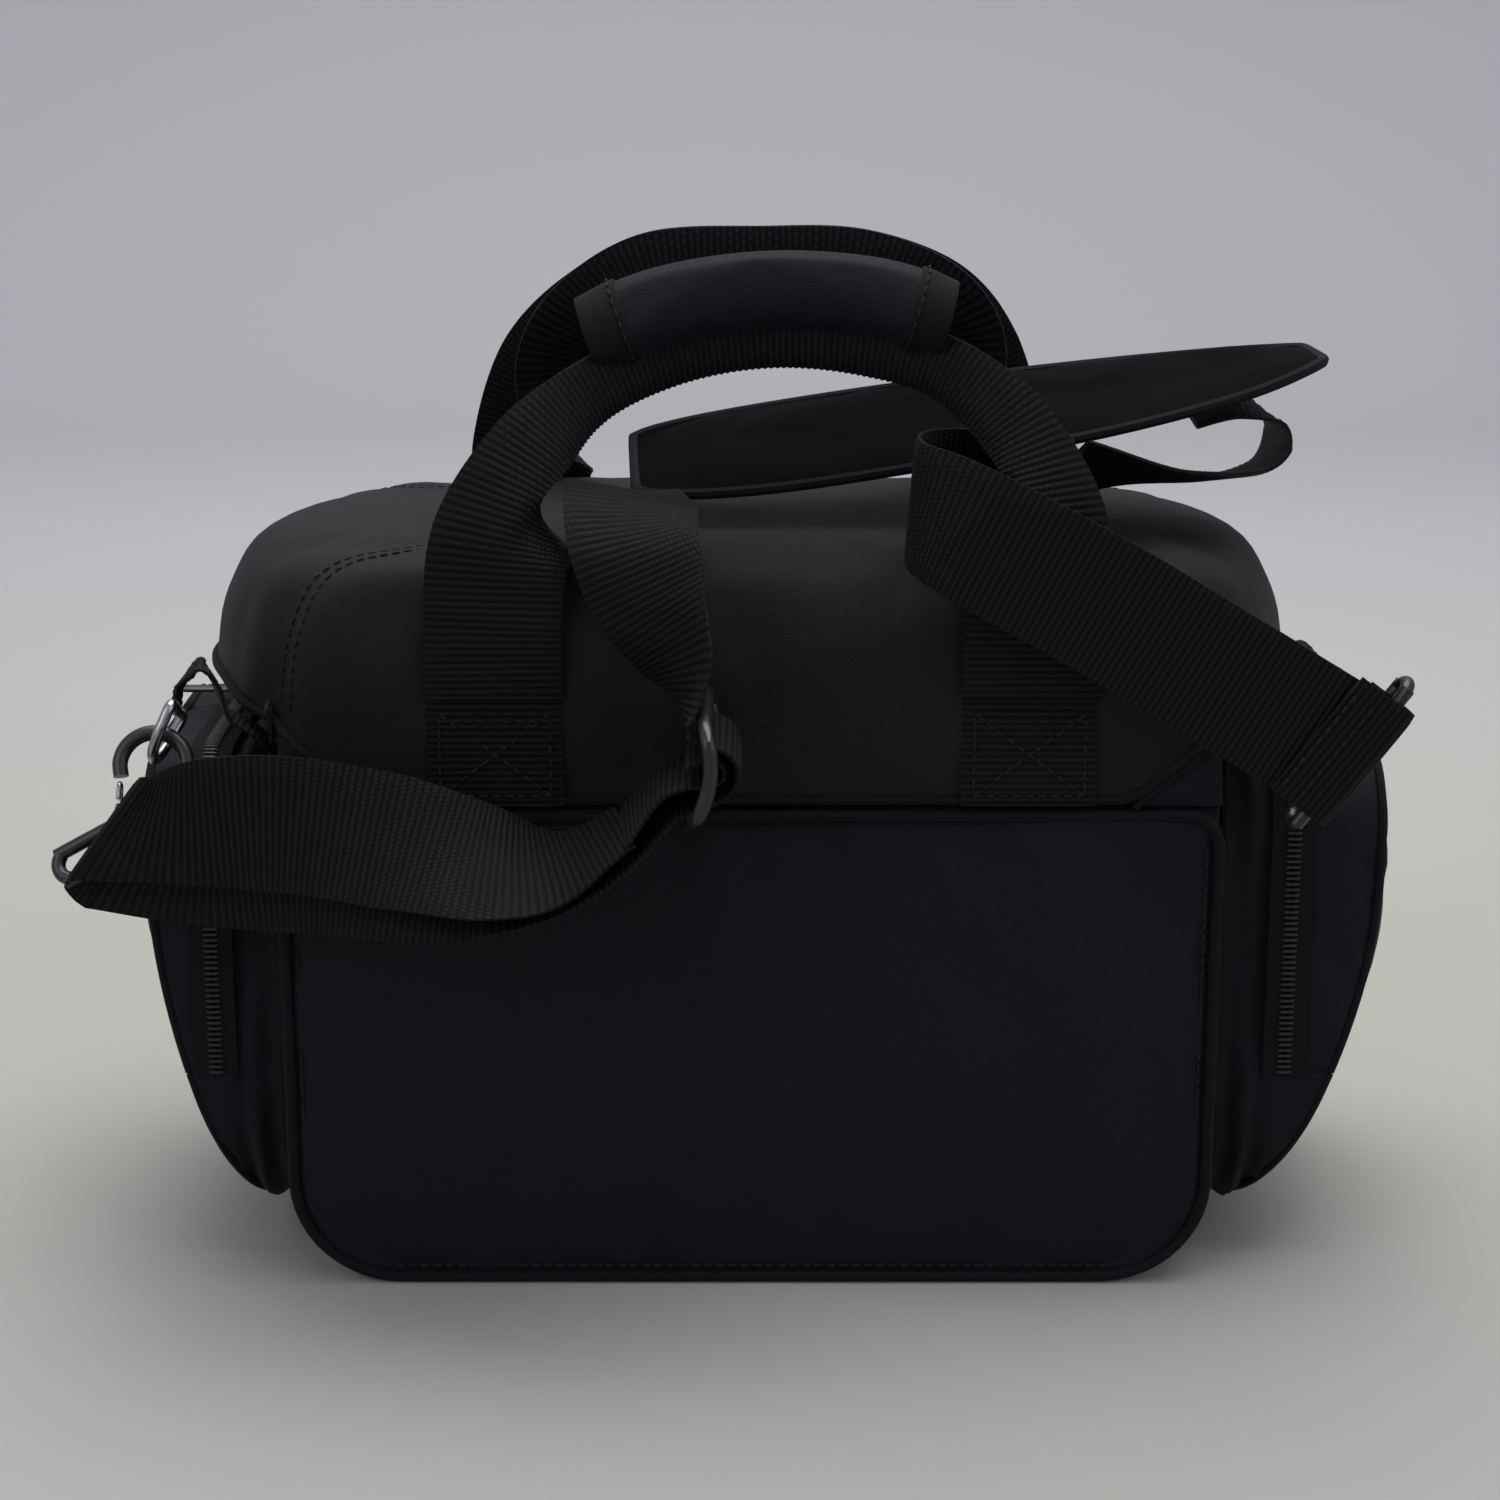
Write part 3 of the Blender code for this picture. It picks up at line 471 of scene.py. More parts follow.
def stitches(name, lines, body, lift=(0, 0, 0), radius=THREAD_RADIUS):
    """Rows of thread: one short rounded dash after another along each line."""
    points, faces = [], []
    lift = Vector(lift)
    step = round((STITCH + STITCH_GAP) / STITCH_GRID)
    reach = round(STITCH / STITCH_GRID)
    profile = ((0.0, radius * 0.35), (0.15, radius), (0.85, radius), (1.0, radius * 0.35))
    for line in lines:
        dots = resample(line, STITCH_GRID)
        for start in range(0, len(dots) - reach, step):
            ends = dots[start] + lift, dots[start + reach] + lift
            ahead = (ends[1] - ends[0]).normalized()
            side = ahead.orthogonal().normalized()
            add_bar(points, faces, ends, side, ahead.cross(side), profile)
    return settle(add_mesh(name, points, faces, THREAD), body, "webbing")


def teeth(name, line, across, body, half_length=0.0021):
    """The coil of a closed zip: a row of small bars across the line."""
    dots = resample(line, TOOTH_PITCH)
    tip = TOOTH_RADIUS * 0.6
    profile = ((0.0, tip), (0.225, TOOTH_RADIUS), (0.775, TOOTH_RADIUS), (1.0, tip))
    points, faces = [], []
    for i, centre in enumerate(dots[1:-1], 1):
        ahead = heading(dots, i)
        ends = centre - across * half_length, centre + across * half_length
        add_bar(points, faces, ends, ahead, ahead.cross(across).normalized(), profile)
    return settle(add_mesh(name, points, faces, COIL), body, "plastic")


# Ribbed webbing


def webbing_line(stations):
    """Centre, half-width vector, fold and distance at every quarter of a rib along the strap."""
    steps = 20
    centres = smooth_path([Vector(s[0]) for s in stations], steps)
    halves = smooth_path([Vector(s[1]) for s in stations], steps)
    folds = smooth_path([s[2] if len(s) > 2 else 0.0 for s in stations], steps)
    count = int(path_length(centres) / (RIB_PITCH / 4))
    made = []
    for k, share, run in even_places(centres, count):
        centre = centres[k].lerp(centres[k + 1], share)
        half = halves[k].lerp(halves[k + 1], share)
        made.append((centre, half, folds[k] + (folds[k + 1] - folds[k]) * share, run))
    return made


def section(centre, half, back, fold, spread):
    """The middle line of the webbing's cross-section: flat at fold 0, doubled back on itself at fold 1."""
    size = half.length
    upward = half.normalized()
    crease = centre - half * fold
    swing = math.pi * (1 - fold)
    leg = upward * math.cos(swing) + back * math.sin(swing)
    made = []
    for i in range(15):
        share = -1 + 2 * i / 14
        reach = size * (1 + fold) * abs(share)
        apart = back * spread * fold * math.tanh(share * 6)
        made.append(crease + (upward if share > 0 else leg) * reach - apart)
    return made


def webbing(name, stations, thick=STRAP_THICK, back_side=-1.0, curl=0.0004, slant=(0.0, 0.0)):
    """A strap whose cross ribs, selvages and folds are all in its mesh.

    Each station is a centre, a vector for half the width and, where it isn't 0, a fold. slant gives how
    far from each end the sections lie along their stated width, not square to the strap.
    """
    line = webbing_line(stations)
    total = line[-1][3]
    centres = [place[0] for place in line]
    points, uvs = [], []
    for i, (centre, half, fold, run) in enumerate(line):
        ahead = heading(centres, i)
        lean = max(slant[0] - run, slant[1] - total + run, 0.0) / max(*slant, 1e-9)
        half = half - ahead * half.dot(ahead) * (1 - min(1.0, lean))
        normal = ahead.cross(half).normalized()
        fold = min(1.0, max(0.0, fold))
        middle = section(centre, half, normal * back_side, fold, 0.0013)
        wander = noise.noise(Vector((run * 28, centre.x * 9, centre.z * 9)))
        rib = RIB_HEIGHT * math.cos(2 * math.pi * run / RIB_PITCH)
        front, behind = [], []
        for k, place in enumerate(middle):
            share = -1 + 2 * k / (len(middle) - 1)
            chord = middle[min(k + 1, len(middle) - 1)] - middle[max(k - 1, 0)]
            out = ahead.cross(chord).normalized()
            place = place + out * curl * wander * (share * share - 0.3) * (1 - fold)
            selvage = 1 - 0.45 * abs(share) ** 14
            deep = thick / 2 * selvage + rib * (1 - abs(share) ** 10)
            front.append(place + out * deep)
            behind.append(place - out * deep)
        points += front + list(reversed(behind))
        across = [half.length * (-1 + 2 * k / 14) for k in range(15)]
        uvs += [(run, a) for a in across + list(reversed(across))]
    piece = add_mesh(name, points, band_faces(len(line), 30), WEBBING, 60.0)
    layer = piece.data.uv_layers.new(name="UVMap")
    for loop in piece.data.loops:
        layer.data[loop.index].uv = uvs[loop.vertex_index]
    return piece


# Padded walls of the body


def wall_rows(top, y_outer, y_inner):
    """Outer and inner grids of a panel with round lower corners."""
    outer, inner = [], []
    for r in range(WALL_ROWS + 1):
        v = r / WALL_ROWS
        z = top * (1 - math.cos(v * math.pi)) / 2 * 0.25 + top * v * 0.75
        low = max(0.0, CORNER_RADIUS - z)
        cut = CORNER_RADIUS - math.sqrt(max(0.0, CORNER_RADIUS**2 - low**2))
        half = HALF_WIDTH - WALL_INSET - cut
        for c in range(WALL_COLUMNS + 1):
            u = -1 + 2 * c / WALL_COLUMNS
            outer.append(Vector((u * half, y_outer, z)))
            inner.append(Vector((u * half, y_inner, z)))
    return outer, inner


def padded_wall(name, top, y_outer, y_inner, puff):
    """A foam wall: flat inside, sewn in along its edges, and slightly crowned outside."""
    columns, rows = WALL_COLUMNS, WALL_ROWS
    outer, inner = wall_rows(top, y_outer, y_inner)
    wide = columns + 1
    side = 1 if y_outer > y_inner else -1
    edge = []
    for i, point in enumerate(outer):
        r, c = divmod(i, wide)
        if r in (0, rows) or c in (0, columns):
            edge.append(i)
        from_side = min(c, columns - c) / columns * HALF_WIDTH * 2
        from_end = min(r, rows - r) / rows * SEAM_HEIGHT
        share = min(1.0, min(from_side, from_end) / WALL_EDGE_ROLL)
        point.y = y_outer - side * WALL_EDGE_SINK * (1 - math.sin(share * math.pi / 2))
    quads = []
    for r in range(rows):
        for c in range(columns):
            a = r * wide + c
            quads.append([a, a + 1, a + 1 + wide, a + wide])
    total = len(outer)
    faces = quads + [[total + i for i in reversed(q)] for q in quads]
    loop = list(range(wide))
    loop += [r * wide + columns for r in range(1, rows + 1)]
    loop += [rows * wide + c for c in reversed(range(columns))]
    loop += [r * wide for r in reversed(range(1, rows))]
    for i, a in enumerate(loop):
        b = loop[(i + 1) % len(loop)]
        faces.append([a, total + a, total + b, b])
    piece = add_mesh(name, outer + inner, faces, [NYLON, LINING])
    for polygon in piece.data.polygons:
        if abs(polygon.center.y - y_inner) < 0.0005:
            polygon.material_index = 1
    sewn = edge + [total + i for i in range(total)]
    inflate(piece, sewn, 3.0, puff, 0.012)
    return finer(piece)


def wall_outline(inset, top, top_radius):
    """The piping's line round a wall, as (x, z) pairs, from the left top corner down and round."""
    side = HALF_WIDTH - inset
    radius = CORNER_RADIUS - inset
    made = arc((-side + top_radius, top - top_radius), top_radius, 90, 180, 6)
    made += arc((-side + radius, inset + radius), radius, 180, 270, 14)
    made += arc((side - radius, inset + radius), radius, 270, 360, 14)
    made += arc((side - top_radius, top - top_radius), top_radius, 0, 90, 6)
    return made


def build_piping(name, side, y, top):
    """Piping round a wall's edge with a seam beside it, both open along the top of the front wall."""
    closed = name == "back"
    outline = [Vector((x, y, z)) for x, z in wall_outline(0.0017, top, 0.009)]
    piping = tube(f"{name}_piping", resample(outline, 0.004, closed), WALL_PIPING, BINDING, 10, closed)
    settle(piping, "body", "nylon")
    seam = [Vector((x, y, z)) for x, z in wall_outline(0.0052, top - 0.0034, 0.007)]
    if closed:
        seam.append(seam[0])
    stitches(f"{name}_piping_stitches", [seam], "body", (0, side * 0.0003, 0))


def build_walls():
    back = padded_wall("back_wall", SEAM_HEIGHT - 0.0006, -HALF_DEPTH - 0.0010, PANEL_INSIDE, 0.0026)
    settle(back, "body", "nylon", "back_panel")
    front = padded_wall("front_wall", RIM_HEIGHT, HALF_DEPTH + 0.0002, FRONT_LOW.y, 0.0004)
    settle(front, "body", "nylon", "front_panel")
    build_piping("back", -1, -HALF_DEPTH - 0.0004, SEAM_HEIGHT - 0.0030)
    build_piping("front", 1, HALF_DEPTH + 0.0006, RIM_HEIGHT - 0.014)
    build_corner_gores()


def build_corner_gores():
    """The bound cloth corners that rise from the back seam to the zip at each side."""
    for side, sign in (("left", -1), ("right", 1)):
        points, edge = [], []
        for i in range(13):
            share = i / 12
            x = SEAM_HALF_LENGTH + (HALF_WIDTH - 0.0012 - SEAM_HALF_LENGTH) * share
            top = SEAM_HEIGHT + (CORNER_HEIGHT - 0.0004 - SEAM_HEIGHT) * share
            past = max(0.0, x - HALF_WIDTH + LID_CORNER)
            bend = LID_CORNER - math.sqrt(LID_CORNER**2 - past**2)
            crown = 0.0012 * math.sin(share * math.pi)
            levels = ((SEAM_HEIGHT - 0.0003, 0.0), ((SEAM_HEIGHT + top) / 2, bend * 0.5 - crown), (top, bend))
            for z, inward in levels:
                points.append(Vector((sign * x, -HALF_DEPTH + inward, z)))
            for z, inward in (levels[2], levels[0]):
                points.append(Vector((sign * x, max(PANEL_INSIDE, -HALF_DEPTH + inward + 0.002), z)))
            edge.append(Vector((sign * x, -HALF_DEPTH + bend - 0.0004, top - 0.0008)))
        gore = add_mesh(f"{side}_corner_gore", points, band_faces(13, 5), NYLON)
        settle(gore, "body", "nylon")
        settle(tube(f"{side}_gore_binding", resample(edge, 0.003), 0.0011, BINDING, 8), "body", "nylon")


def drawn_in(p, rim, inset):
    """A point of the gusset's outline, cut off at the rim and moved inwards."""
    flat = Vector((p.x, 0, min(p.z, rim)))
    core = Vector((max(-0.1, min(0.1, flat.x)), 0, max(0.034, flat.z)))
    return flat - (flat - core).normalized() * inset


def build_gusset():
    """The band of cloth round the body's sides and base, gathered where it is sewn to the walls."""
    low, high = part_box("body_gusset")
    columns = 26
    outline = [(-HALF_WIDTH, RIM_HEIGHT)]
    outline += arc((-HALF_WIDTH + CORNER_RADIUS, CORNER_RADIUS), CORNER_RADIUS, 180, 270, 12)
    outline += arc((HALF_WIDTH - CORNER_RADIUS, CORNER_RADIUS), CORNER_RADIUS, 270, 360, 12)
    outline.append((HALF_WIDTH, RIM_HEIGHT))
    line = resample([Vector((x, 0, z)) for x, z in outline], 0.005)
    centre = Vector((0, 0, 0.085))
    rings = []
    for c in range(columns + 1):
        share = c / columns
        place = Vector((0, low.y + (high.y - low.y) * share, 0))
        roll = 0.0008 * (1 - min(1.0, min(share, 1 - share) * 12))
        rim = CORNER_HEIGHT - GAP + (RIM_HEIGHT - CORNER_HEIGHT) * min(1.0, share * 5)
        rings += [drawn_in(p, rim, roll) + place for p in line]
        rings += [drawn_in(p, rim, GUSSET_WALL) + place for p in reversed(line)]
    piece = add_mesh("side_gusset", rings, band_faces(columns + 1, 2 * len(line)), [NYLON, LINING])
    for polygon in piece.data.polygons:
        inside = polygon.normal.dot(polygon.center - centre) < 0
        polygon.material_index = 1 if inside and abs(polygon.normal.y) < 0.7 else 0
    settle(piece, "body", "nylon", "body_gusset")


def build_interior():
    """Padded dividers with bound top edges, and the covered base board."""
    for node in ("left_divider", "right_divider", "base_board"):
        low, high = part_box(node)
        radius = 0.0032 if node != "base_board" else 0.0009
        outline = []
        for x, z, start in (
            (high.x - radius, high.z - radius, 0),
            (low.x + radius, high.z - radius, 90),
            (low.x + radius, low.z + radius, 180),
            (high.x - radius, low.z + radius, 270),
        ):
            outline += arc((x, z), radius, start, start + 90, 4)
        middle = (low.x + high.x) / 2
        rings = []
        count = 22
        for r in range(count + 1):
            share = r / count
            y = low.y + (high.y - low.y) * share
            pinch = 1 - 0.12 * (1 - min(1.0, min(share, 1 - share) * 14))
            rings += [Vector((middle + (x - middle) * pinch, y, z)) for x, z in outline]
        piece = add_mesh(f"{node}_cover", rings, band_faces(count + 1, len(outline)), LINING)
        if node != "base_board":
            edge = [Vector((middle, y, high.z)) for y in (low.y + 0.002, 0, high.y - 0.002)]
            settle(tube(f"{node}_binding", resample(edge, 0.01), 0.0016, BINDING, 8), "body", "nylon")
        settle(piece, "body", "lining", node)


# The lid

LID_ROWS = (
    (0.186, 0.985, 1.0),
    (0.198, 0.958, 0.99),
    (0.206, 0.932, 0.955),
    (0.211, 0.885, 0.90),
    (0.213, 0.80, 0.80),
    (0.2138, 0.60, 0.60),
    (0.2142, 0.35, 0.35),
    (0.2143, 0.06, 0.06),
)
LID_BULGE = 0.026


def lid_outline():
    """The lid's lower edge in plan, from the middle of its back, anticlockwise seen from above."""
    corner = (HALF_WIDTH - LID_CORNER, -HALF_DEPTH + LID_CORNER)
    right = [(0.0, -HALF_DEPTH)] + arc(corner, LID_CORNER, -90, -20, 6)
    for i in range(1, 11):
        y = (-1 + i / 10) * (HALF_DEPTH - LID_CORNER)
        right.append((HALF_WIDTH + LID_BULGE * math.cos(y / HALF_DEPTH * math.pi / 2), y))
    right += [(x, -y) for x, y in reversed(right[:-1])]
    left = [(-x, -y) for x, y in right]
    return [Vector((x, y, 0)) for x, y in right + left[1:-1]]


def lid_edge_height(x, y):
    """How high the lid starts: low along the hinge, rising over the back corners to the zip."""
    if y <= -HALF_DEPTH + LID_CORNER * 0.68:
        share = max(0.0, abs(x) - SEAM_HALF_LENGTH) / (HALF_WIDTH - SEAM_HALF_LENGTH)
        return SEAM_HEIGHT + (CORNER_HEIGHT - SEAM_HEIGHT) * share
    rise = min(1.0, (y + HALF_DEPTH - LID_CORNER * 0.66) / 0.030)
    return CORNER_HEIGHT + (RIM_HEIGHT - CORNER_HEIGHT) * rise


def lid_columns():
    """One smooth line up the lid from each point of its edge to the middle of its top."""
    count = 24
    columns = []
    for p in resample(lid_outline(), 0.0055, True):
        line = [Vector((p.x, p.y, lid_edge_height(p.x, p.y) + GAP))]
        line += [Vector((p.x * wide, p.y * deep, z)) for z, wide, deep in LID_ROWS]
        line = resample(smooth_path(line, 6), 0.0058)
        columns.append(resample(line, path_length(line) / count)[: count + 1])
    return columns


def build_lid():
    columns = lid_columns()
    around = len(columns)
    rows = min(len(line) for line in columns)
    points = [columns[c][r] for r in range(rows) for c in range(around)]
    faces = band_faces(rows, around, False)
    top = len(points)
    points.append(Vector((0, 0, LID_ROWS[-1][0])))
    last = (rows - 1) * around
    for c in range(around):
        faces.append([last + c, last + (c + 1) % around, top])
    # The lid wears the lighter copy of the nylon: painted light.
    piece = add_mesh("lid_cover", points, faces, [LID_NYLON_PAINTED_LIGHT, LINING], 180.0)
    seams = [c for c in range(around) if is_lid_corner(columns[c][0])]
    sewn = list(range(around * 2))
    sewn += [r * around + c for c in seams for r in range(rows // 2)]
    inflate(piece, sewn, 2.2, 0.0030, 0.010)
    press_seams(piece, seams, around, rows)
    thicken(finer(piece), LID_WALL)
    settle(piece, "lid", "nylon", "lid_shell")
    for i, c in enumerate(seams):
        line = columns[c][1 : rows // 2 + 2]
        shift = (0.0016 if line[0].x < 0 else -0.0016, -0.0006, 0)
        stitches(f"lid_corner_stitches_{i}", [line], "lid", shift)
    edge = [line[0] + Vector((0, 0, 0.0012)) for line in columns]
    settle(tube("lid_edge_binding", edge, 0.0014, BINDING, 8, True), "lid", "nylon")


def is_lid_corner(foot):
    """True for the columns that carry the lid's four upright corner seams."""
    return abs(abs(foot.x) - 0.1335) < 0.0028 and abs(foot.y) > 0.062


def press_seams(piece, seams, around, rows):
    """Draws the cloth in along each corner seam."""
    for c in seams:
        for r in range(1, rows // 2 + 3):
            vertex = piece.data.vertices[r * around + c]
            inward = Vector((-vertex.co.x, -vertex.co.y * 1.6, 0)).normalized()
            vertex.co += inward * 0.0014


# Pockets

SIDE_COVER_LOW = 0.058
FRONT_COVER_LOW = 0.046
SIDE_ZIP = 0.022
FRONT_ZIP = 0.016


def side_pocket_depth(height, most):
    share = min(1.0, max(0.0, (height - 0.012) / 0.110))
    return 0.012 + (most - 0.012) * math.sin(share * math.pi / 2) ** 0.8


def front_pocket_depth(height):
    share = min(1.0, max(0.0, (height - 0.012) / 0.058))
    return 0.012 + 0.020 * math.sin(share * math.pi / 2)


def pocket_outline(half_width, low, high, low_radius, high_radius):
    made = arc((-half_width + low_radius, low + low_radius), low_radius, 180, 270, 12)
    made += arc((half_width - low_radius, low + low_radius), low_radius, 270, 360, 12)
    made += arc((half_width - high_radius, high - high_radius), high_radius, 0, 90, 8)
    made += arc((-half_width + high_radius, high - high_radius), high_radius, 90, 180, 8)
    return resample([Vector((a, z, 0)) for a, z in made], 0.0042, True)


# Share of the pocket's depth and shrink of its outline, from the wall to the middle of its face
POCKET_ROWS = [(0.06 * i, 1.0) for i in range(16)]
POCKET_ROWS += [(0.94, 0.985), (0.975, 0.955), (1.0, 0.92), (1.03, 0.85), (1.05, 0.76), (1.065, 0.65)]
POCKET_ROWS += [(1.075, 0.53), (1.083, 0.40), (1.088, 0.27), (1.09, 0.13), (1.09, 0.03)]
PIPING_ROW = 16


class Pocket:
    """One zipped pocket: where it is, and how a point of it is placed on the bag."""

    def __init__(self, side, outline, depth, place, zip_depth, cover_low):
        self.side = side
        self.outline = outline
        self.depth = depth
        self.place = place
        self.zip_depth = zip_depth
        self.cover_low = cover_low
        heights = [p.y for p in outline]
        self.middle = (min(heights) + max(heights)) / 2
        self.half = max(p.x for p in outline)

    def at_depth(self, corner, deep, lift, shrink=1.0):
        """A point of the outline at a depth from the wall, scaled about its middle and lifted."""
        grow = shrink + lift / self.half
        return self.place(corner.x * grow, self.middle + (corner.y - self.middle) * grow, deep)

    def point(self, corner, share, shrink):
        """A point of the pocket's skin, with the pleats of its side."""
        height = self.middle + (corner.y - self.middle) * shrink
        deep = self.depth(height) * share
        pleat = 0.0
        if 0.002 < deep < self.zip_depth - 0.004 and shrink == 1.0:
            pleat = 0.0011 * math.sin(2 * math.pi * deep / 0.0085)
        return self.at_depth(corner, deep, pleat, shrink)


def pocket_skin(pocket):
    around = len(pocket.outline)
    points = []
    for share, shrink in POCKET_ROWS:
        points += [pocket.point(corner, share, shrink) for corner in pocket.outline]
    faces = band_faces(len(POCKET_ROWS), around, False)
    last = (len(POCKET_ROWS) - 1) * around
    faces.append([last + c for c in range(around)])
    piece = add_mesh(f"{pocket.side}_pocket_skin", points, faces, [NYLON, LINING], 180.0)
    sewn = list(range(around * 3))
    sewn += [around * PIPING_ROW + c for c in range(around)]
    inflate(piece, sewn, 2.0, 0.0022, 0.012)
    return piece


def cut_skin(piece, pocket, keep_cover, name):
    """A copy of the skin that is only the cover, or only the pouch, cut cleanly along the zip."""
    origin = pocket.place(0, pocket.cover_low, pocket.zip_depth)
    outward = (pocket.place(0, 0, 1) - pocket.place(0, 0, 0)).normalized()
    shape = bmesh.new()
    shape.from_mesh(piece.data)
    for normal in (Vector((0, 0, 1)), outward):
        everything = shape.verts[:] + shape.edges[:] + shape.faces[:]
        bmesh.ops.bisect_plane(shape, geom=everything, dist=1e-6, plane_co=origin, plane_no=normal)
    wrong = []
    for face in shape.faces:
        away = face.calc_center_median() - origin
        is_cover = away.z > 0 and away.dot(outward) > 0
        if is_cover != keep_cover:
            wrong.append(face)
    bmesh.ops.delete(shape, geom=wrong, context="FACES")
    mesh = bpy.data.meshes.new(name)
    shape.to_mesh(mesh)
    shape.free()
    for finish in piece.data.materials:
        mesh.materials.append(finish)
    mesh.shade_smooth()
    made = bpy.data.objects.new(name, mesh)
    bpy.context.scene.collection.objects.link(made)
    thicken(made, POCKET_WALL)
    return made


def build_pocket(pocket):
    skin = pocket_skin(pocket)
    side = pocket.side
    cover = cut_skin(skin, pocket, True, f"{side}_cover_skin")
    pouch = cut_skin(skin, pocket, False, f"{side}_pouch_skin")
    bpy.data.objects.remove(skin)
    settle(cover, f"{side}_pocket_cover", "nylon", f"{side}_pocket_cover")
    settle(pouch, "body", "nylon", f"{side}_pocket_pouch")
    build_pocket_trim(pocket)


def runs(pocket, above):
    """The outline's points above the cover's hinge in one run, or those below it."""
    outline = pocket.outline
    count = len(outline)
    inside = [(p.y > pocket.cover_low) == above for p in outline]
    first = next(i for i in range(count) if inside[i] and not inside[i - 1])
    made = []
    for k in range(count):
        if not inside[(first + k) % count]:
            break
        made.append(outline[(first + k) % count])
    edge = pocket.cover_low + (0.0003 if above else -0.0003)
    before, after = outline[first - 1], outline[(first + len(made)) % count]
    for inner, outer, place in ((made[0], before, 0), (made[-1], after, len(made) + 1)):
        share = (edge - inner.y) / (outer.y - inner.y)
        made.insert(place, inner.lerp(outer, share))
    return made


def build_pocket_trim(pocket):
    """Piping round the pocket's face, and the two tapes and the coil of its zip."""
    side = pocket.side
    share, shrink = POCKET_ROWS[PIPING_ROW]
    for above, body in ((True, f"{side}_pocket_cover"), (False, "body")):
        line = [pocket.point(corner, share + 0.012, shrink + 0.004) for corner in runs(pocket, above)]
        part = "cover" if above else "pouch"
        line = resample(line, 0.003)
        settle(tube(f"{side}_{part}_piping", line, 0.0014, BINDING, 8), body, "nylon")
    upper = runs(pocket, True)
    outward = (pocket.place(0, 0, 1) - pocket.place(0, 0, 0)).normalized()
    halves = (("outer", 0.0007, 0.0062, f"{side}_pocket_cover"), ("inner", -0.0062, -0.0007, "body"))
    for part, start, end, body in halves:
        points = []
        for corner in upper:
            for deep, lift in ((start, 0.0005), (end, 0.0005), (end, 0.0014), (start, 0.0014)):
                points.append(pocket.at_depth(corner, pocket.zip_depth + deep, lift))
        tape = add_mesh(f"{side}_zip_tape_{part}", points, band_faces(len(upper), 4), TAPE)
        settle(tape, body, "nylon")
    line = [pocket.at_depth(corner, pocket.zip_depth, 0.0019) for corner in upper]
    teeth(f"{side}_zip_teeth", line, outward, "body")


def build_pockets():
    wall = HALF_WIDTH + GAP
    for side, sign, most in (("left", -1, 0.041), ("right", 1, 0.050)):
        outline = pocket_outline(0.058, 0.007, 0.152, 0.042, 0.022)
        place = lambda a, z, c, sign=sign: Vector((sign * (wall + c), a, z))
        depth = lambda height, most=most: side_pocket_depth(height, most)
        build_pocket(Pocket(side, outline, depth, place, SIDE_ZIP, SIDE_COVER_LOW))
    outline = pocket_outline(0.108, 0.012, 0.132, 0.036, 0.018)
    front_wall = HALF_DEPTH + GAP
    place = lambda a, z, c: Vector((a, front_wall + c, z))
    build_pocket(Pocket("front", outline, front_pocket_depth, place, FRONT_ZIP, FRONT_COVER_LOW))


# The lid's zip


def build_lid_zip():
    """Tape and coil round the sides and front of the body's rim."""
    corner, thick = 0.006, 0.0007
    turn = (-HALF_WIDTH + corner, HALF_DEPTH - corner)
    plan = [(-HALF_WIDTH, -HALF_DEPTH + 0.004), (-HALF_WIDTH, turn[1])] + arc(turn, corner, 180, 90, 5)
    plan += [(-x, y) for x, y in reversed(plan)]
    line = resample([Vector((x, y, RIM_HEIGHT - 0.0016)) for x, y in plan], 0.004)
    points, coil = [], []
    for i, p in enumerate(line):
        ahead = heading(line, i)
        out = Vector((-ahead.y, ahead.x, 0))
        low = p + Vector((0, 0, -0.0085)) + out * GAP
        high = p + Vector((0, 0, 0.0008)) + out * GAP
        points += [low, high, high + out * thick, low + out * thick]
        coil.append(p + out * 0.0016 + Vector((0, 0, 0.0008)))
    tape = add_mesh("lid_zip_tape", points, band_faces(len(line), 4), TAPE)
    settle(tape, "body", "nylon")
    teeth("lid_zip_teeth", coil, Vector((0, 0, 1)), "body", 0.0016)


# Zip sliders

# Distance from the slider's middle, half width and half thickness down a pull
PULL_ROWS = (
    (-0.0026, 0.0012, 0.0007),
    (-0.0036, 0.0026, 0.0010),
    (-0.0052, 0.0030, 0.0011),
    (-0.0120, 0.0026, 0.0009),
    (-0.0200, 0.0029, 0.0011),
    (-0.0232, 0.0028, 0.0011),
    (-0.0240, 0.0020, 0.0008),
)

